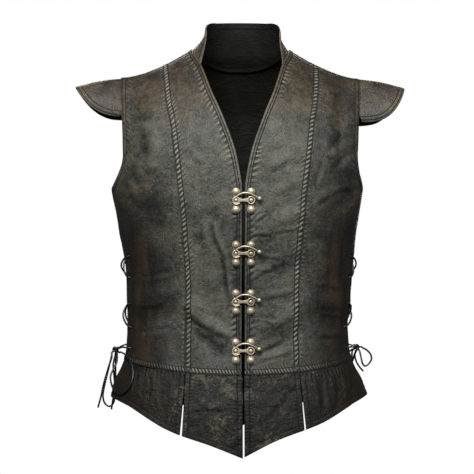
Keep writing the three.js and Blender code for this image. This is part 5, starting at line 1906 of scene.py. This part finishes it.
@dataclass(frozen=True)
class Clasp:
    """A cast clasp: a plate on either front edge, and the hook that swings from one to the other.

    It is drawn flat, with x to the wearer's left, y up and z away from the leather.
    """

    number: int
    z: float
    plate_x: float = 11.4
    plate_thick: float = 1.5
    lift: float = 0.5
    lobe_radius: float = 6.2
    lobe_y: float = 13.6
    waist_half: float = 5.0
    hook_lift: float = 1.85
    hook_thick: float = 1.8
    pivot_y: float = 0.6

    def matrix(self) -> Matrix:
        """Return the matrix from the clasp's drawing to the garment."""
        middle = Vector(FORM.over(0, self.z, self.lift))
        above, below = FORM.over(0, self.z + 20, self.lift), FORM.over(0, self.z - 20, self.lift)
        turn = math.atan2(above[2] - below[2], above[1] - below[1])
        return Matrix.Scale(MM, 4) @ Matrix.Translation(middle) @ Matrix.Rotation(turn, 4, "X")

    def outline(self) -> list[tuple[float, float]]:
        """Return the outline of a plate: a lobe at each end, one in the middle, and narrow waists."""
        points: list[tuple[float, float]] = []

        def arc(centre: float, start: float, end: float, radius: float, steps: int) -> None:
            """Add an arc to the outline."""
            for k in range(steps + 1):
                angle = math.radians(mix(start, end, k / steps))
                points.append((radius * math.cos(angle), centre + radius * math.sin(angle)))

        arc(-self.lobe_y, 150, 390, self.lobe_radius, 26)
        points.append((self.waist_half - 0.6, -7))
        arc(0, -50, 50, self.lobe_radius - 0.4, 10)
        points.append((self.waist_half - 0.6, 7))
        arc(self.lobe_y, -30, 210, self.lobe_radius, 26)
        points.append((0.6 - self.waist_half, 7))
        arc(0, 130, 230, self.lobe_radius - 0.4, 10)
        points.append((0.6 - self.waist_half, -7))
        return points

    def plate(self, side: Side) -> bpy.types.Object:
        """Build one plate with its rivets and its pivot or post."""
        cast = Casting()
        cast.slab(self.outline(), 0, self.plate_thick, 0.45)
        for y in (-self.lobe_y, self.lobe_y):
            cast.turned(RIVET_SEAT, (0, y, self.plate_thick))
            cast.turned(RIVET_DOME, (0, y, self.plate_thick))
        cast.turned(PIVOT if side is Side.RIGHT else POST, (0, self.pivot_y, self.plate_thick))
        move = self.matrix() @ Matrix.Translation((side.value * self.plate_x, 0, 0))
        part = f"{self.number}_plate_{side.word}"
        return cast.finish(f"brass_{part}", move, f"clasp_{part}")

    def hook(self) -> bpy.types.Object:
        """Build the hook: two rings, the waisted link between them, and the bowed lever with its ball."""
        cast = Casting()
        top = self.hook_lift + self.hook_thick
        middle = self.hook_lift + self.hook_thick / 2
        edge = self.plate_x
        cast.ring((-edge, self.pivot_y, middle), 4.7, 1.25)
        cast.ring((edge, self.pivot_y, middle), 5.2, 1.3)
        cast.slab(self.link_outline(), self.hook_lift, top, 0.5)
        lower = [(-edge - 5.2, -3.0, middle), (-edge, -5.8, middle + 0.2), (-edge + 6, -4.0, middle)]
        cast.tube(lower, (0.7, 1.3, 0.9))
        upper = [
            (-edge - 3.4, 3.0, middle), (-edge + 3.6, 8.4, middle + 0.8), (-1.0, 11.4, middle + 2.0),
            (8.0, 11.2, middle + 3.4), (16.5, 7.6, middle + 2.8), (22.6, 4.0, middle + 1.6),
        ]
        cast.tube(upper, (0.9, 1.5, 1.5, 1.35, 1.1, 0.9))
        cast.ball((24.0, 3.2, middle + 1.6), 3.8)
        return cast.finish(f"brass_{self.number}_hook", self.matrix(), f"clasp_{self.number}_hook")

    def link_outline(self) -> list[tuple[float, float]]:
        """Return the outline of the link, narrow in its middle."""
        end = self.plate_x - 3.2
        xs = np.linspace(-end, end, 13)
        high = [(float(x), 1.9 + 2.6 * (x / end) ** 2 + self.pivot_y) for x in xs[::-1]]
        low = [(float(x), -1.9 - 2.0 * (x / end) ** 2 + self.pivot_y) for x in xs]
        return low + high

    def build(self) -> list[bpy.types.Object]:
        """Build the clasp's two plates and its hook."""
        return [self.plate(Side.RIGHT), self.plate(Side.LEFT), self.hook()]


def circle(steps: int) -> list[float]:
    """Return angles evenly round a circle."""
    return [2 * math.pi * k / steps for k in range(steps)]


class Casting:
    """Collects the rounded bodies of one cast piece and joins them into a mesh."""

    turned_sides = 28
    bar_sides = 14

    def __init__(self) -> None:
        """Start with an empty mesh."""
        self.mesh = bmesh.new()

    def slab(self, outline: Sequence[tuple[float, float]], low: float, high: float, round_by: float) -> None:
        """Add a flat body with rounded upper edges."""
        made = bmesh.new()
        base = made.faces.new([made.verts.new((x, y, low)) for x, y in outline])
        lifted = bmesh.ops.extrude_face_region(made, geom=[base])["geom"]
        top = [v for v in lifted if isinstance(v, bmesh.types.BMVert)]
        bmesh.ops.translate(made, verts=top, vec=(0, 0, high - low))
        rim = [e for e in made.edges if all(v.co.z > high - 1e-6 for v in e.verts)]
        bmesh.ops.bevel(made, geom=rim, offset=round_by, segments=3, affect="EDGES", profile=0.6)
        self._take(made)

    def turned(self, profile: Sequence[tuple[float, float]], at: Point) -> None:
        """Add a turned body, from radii and heights; its foot and top are closed."""
        made = bmesh.new()
        sides = self.turned_sides
        turns = circle(sides)
        rings = [
            [made.verts.new((radius * math.cos(t), radius * math.sin(t), height)) for t in turns]
            for radius, height in profile
        ]
        for low, high in zip(rings, rings[1:]):
            for k in range(sides):
                made.faces.new((low[k], low[(k + 1) % sides], high[(k + 1) % sides], high[k]))
        made.faces.new(rings[0][::-1])
        made.faces.new(rings[-1])
        bmesh.ops.translate(made, verts=made.verts, vec=at)
        self._take(made)

    def ring(self, at: Point, radius: float, thick: float) -> None:
        """Add a ring that lies flat."""
        line = [
            (at[0] + radius * math.cos(t), at[1] + radius * math.sin(t), at[2])
            for t in np.linspace(0, 2 * math.pi, 41)[:-1]
        ]
        self.sweep(np.array(line), np.full(40, thick), closed=True)

    def tube(self, points: Sequence[Point], radii: Sequence[float]) -> None:
        """Add a round bar through points, with a radius at each."""
        line = smooth_path([np.array(p) for p in points], 8)
        along = np.linspace(0, 1, len(line))
        self.sweep(line, np.interp(along, np.linspace(0, 1, len(radii)), radii), closed=False)

    def ball(self, at: Point, radius: float) -> None:
        """Add a ball."""
        made = bmesh.new()
        bmesh.ops.create_uvsphere(made, u_segments=24, v_segments=14, radius=radius)
        bmesh.ops.translate(made, verts=made.verts, vec=at)
        self._take(made)

    def sweep(self, line: Array, radii: Array, closed: bool) -> None:
        """Add a round body along a line of points."""
        made = bmesh.new()
        sides = self.bar_sides
        ways = np.roll(line, -1, 0) - np.roll(line, 1, 0) if closed else np.gradient(line, axis=0)
        rings = []
        for centre, way, radius in zip(line, unit(ways), radii):
            out = unit(np.cross(way, (0, 0, 1)))
            up = np.cross(out, way)
            spokes = [math.cos(t) * out + math.sin(t) * up for t in circle(sides)]
            rings.append([made.verts.new(centre + radius * spoke) for spoke in spokes])
        pairs = list(zip(rings, rings[1:])) + ([(rings[-1], rings[0])] if closed else [])
        for low, high in pairs:
            for k in range(sides):
                made.faces.new((low[k], high[k], high[(k + 1) % sides], low[(k + 1) % sides]))
        if not closed:
            made.faces.new(rings[0])
            made.faces.new(rings[-1][::-1])
        bmesh.ops.recalc_face_normals(made, faces=made.faces)
        self._take(made)

    def _take(self, made: bmesh.types.BMesh) -> None:
        """Move a finished body into the piece."""
        bmesh.ops.recalc_face_normals(made, faces=made.faces)
        part = bpy.data.meshes.new("part")
        made.to_mesh(part)
        made.free()
        self.mesh.from_mesh(part)
        bpy.data.meshes.remove(part)

    def finish(self, name: str, move: Matrix, node: str) -> bpy.types.Object:
        """Make the object, rubbed bright on its high places and darkened with painted shade on faces that
        turn away from the front.

        Args:
            name: Name of the piece.
            move: Matrix from the drawing to the garment.
            node: Solid that it replaces.

        Returns:
            The object.
        """
        mesh = bpy.data.meshes.new(name)
        self.mesh.to_mesh(mesh)
        self.mesh.free()
        heights = np.array([v.co.z for v in mesh.vertices])
        ups = np.array([v.normal.z for v in mesh.vertices])
        # bright on faces toward the front and on high places; the dark on faces turned aside is painted
        # shade, the dark low down is patina
        polish_and_facing_shade = smooth(0.35, 0.75, ups) * (0.34 + 0.66 * smooth(1.3, 2.5, heights))
        layer = mesh.attributes.new("polish_and_facing_shade", "FLOAT", "POINT")
        layer.data.foreach_set("value", polish_and_facing_shade.astype(np.float32))
        mesh.transform(move)
        mesh.polygons.foreach_set("use_smooth", np.ones(len(mesh.polygons), dtype=bool))
        mesh.set_sharp_from_angle(angle=math.radians(38))
        mesh.materials.append(BRASS.material())
        return stand_for(placed(name, mesh), node)


# --- Studio ---
@dataclass(frozen=True)
class Studio:
    """Camera, soft lights, pale floor and white surround."""

    frame: int = 474
    focal_pixels: float = 1500.0
    distance: float = 2.4
    azimuth: float = -2.0
    height: float = -0.299
    centre_pixel: float = 240.5
    sensor: float = 36.0
    floor_height: float = -0.95

    def camera(self) -> None:
        """Place the camera level in front of the garment."""
        data = bpy.data.cameras.new("camera")
        data.sensor_width = self.sensor
        data.lens = self.focal_pixels / self.frame * self.sensor
        data.shift_x = (self.frame / 2 - self.centre_pixel) / self.frame
        data.clip_end = 100
        item = placed("camera", data)
        turn = math.radians(self.azimuth)
        item.location = (self.distance * math.sin(turn), -self.distance * math.cos(turn), self.height)
        item.rotation_euler = (math.pi / 2, 0, turn)
        bpy.context.scene.camera = item

    def softbox(self, name: str, place: Point, target: Point, size: Span, power: float) -> None:
        """Place a rectangular soft light that points at a target."""
        data = bpy.data.lights.new(name, "AREA")
        data.shape = "RECTANGLE"
        data.size, data.size_y = size
        data.energy = power
        item = placed(name, data)
        item.location = place
        item.rotation_euler = (Vector(target) - Vector(place)).to_track_quat("-Z", "Y").to_euler()
        item.visible_camera = False

    def surround(self) -> None:
        """Add the white surround and floor, which only the camera sees, and a dim sky."""
        glow = bpy.data.materials.new("studio_white")
        glow.use_nodes = True
        nodes = glow.node_tree.nodes
        nodes.remove(nodes["Principled BSDF"])
        white = nodes.new("ShaderNodeEmission")
        white.inputs["Strength"].default_value = 1.0
        glow.node_tree.links.new(white.outputs[0], nodes["Material Output"].inputs["Surface"])
        shell = bmesh.new()
        bmesh.ops.create_icosphere(shell, subdivisions=3, radius=20)
        floor = bmesh.new()
        bmesh.ops.create_circle(floor, cap_ends=True, segments=64, radius=6)
        bmesh.ops.translate(floor, verts=floor.verts, vec=(0, 0, self.floor_height))
        for name, made in (("surround", shell), ("floor", floor)):
            mesh = bpy.data.meshes.new(name)
            made.to_mesh(mesh)
            made.free()
            mesh.materials.append(glow)
            item = placed(name, mesh)
            item.visible_diffuse = item.visible_glossy = item.visible_shadow = False
            item.visible_transmission = item.visible_volume_scatter = False
        world = bpy.data.worlds.new("sky")
        world.use_nodes = True
        world.node_tree.nodes["Background"].inputs["Color"].default_value = (1, 1, 1, 1)
        world.node_tree.nodes["Background"].inputs["Strength"].default_value = 0.08
        bpy.context.scene.world = world

    def build(self) -> None:
        """Set up the whole studio."""
        self.camera()
        self.surround()
        self.softbox("key", (-0.3, -1.75, 1.2), (0, 0, -0.2), (1.0, 0.7), 66)
        self.softbox("fill", (1.3, -1.5, 0.5), (0.08, 0, -0.2), (0.9, 0.9), 9)
        self.softbox("back", (0, 2.3, 0.9), (0, 0, -0.3), (1.4, 1.0), 26)
        self.softbox("behind", (0.3, 2.2, -0.4), (0, 0, -0.35), (1.2, 1.0), 18)
        self.softbox("side", (-1.3, -1.5, 0.5), (-0.08, 0, -0.2), (0.9, 0.9), 5)
        self.softbox("top", (0, -0.4, 1.9), (0, 0, -0.1), (1.6, 1.2), 6)
        scene = bpy.context.scene
        scene.view_settings.view_transform = "Standard"
        scene.view_settings.look = "None"


# --- Assembly ---
def report(pieces: Iterable[bpy.types.Object]) -> None:
    """Write each piece's name and size to the log."""
    for piece in pieces:
        faces = len(piece.data.polygons) if piece.type == "MESH" else 0
        LOG.info("%s: %d faces", piece.name, faces)


def main() -> None:
    """Build the studio and dress the garment, piece by piece."""
    logging.basicConfig(level=logging.INFO, format="%(message)s")
    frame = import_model()
    LOG.info("%d solids", len(frame["nodes"]))
    Studio().build()
    for lacing in (SideLacing(Side.RIGHT, (199, 0, -478)), SideLacing(Side.LEFT, (185.5, 0, -475))):
        report(lacing.build())
    for panel in Bodice().panels() + Basque().panels():
        report(panel.build())
    report(Collar().build())
    for wing in (Wing(Side.RIGHT, -110, 1.75), Wing(Side.LEFT, -118, 2.4)):
        report(wing.build())
    for number, z in enumerate((-244.0, -324.0, -398.0, -473.0), start=1):
        report(Clasp(number, z).build())


if __name__ == "__main__":
    main()
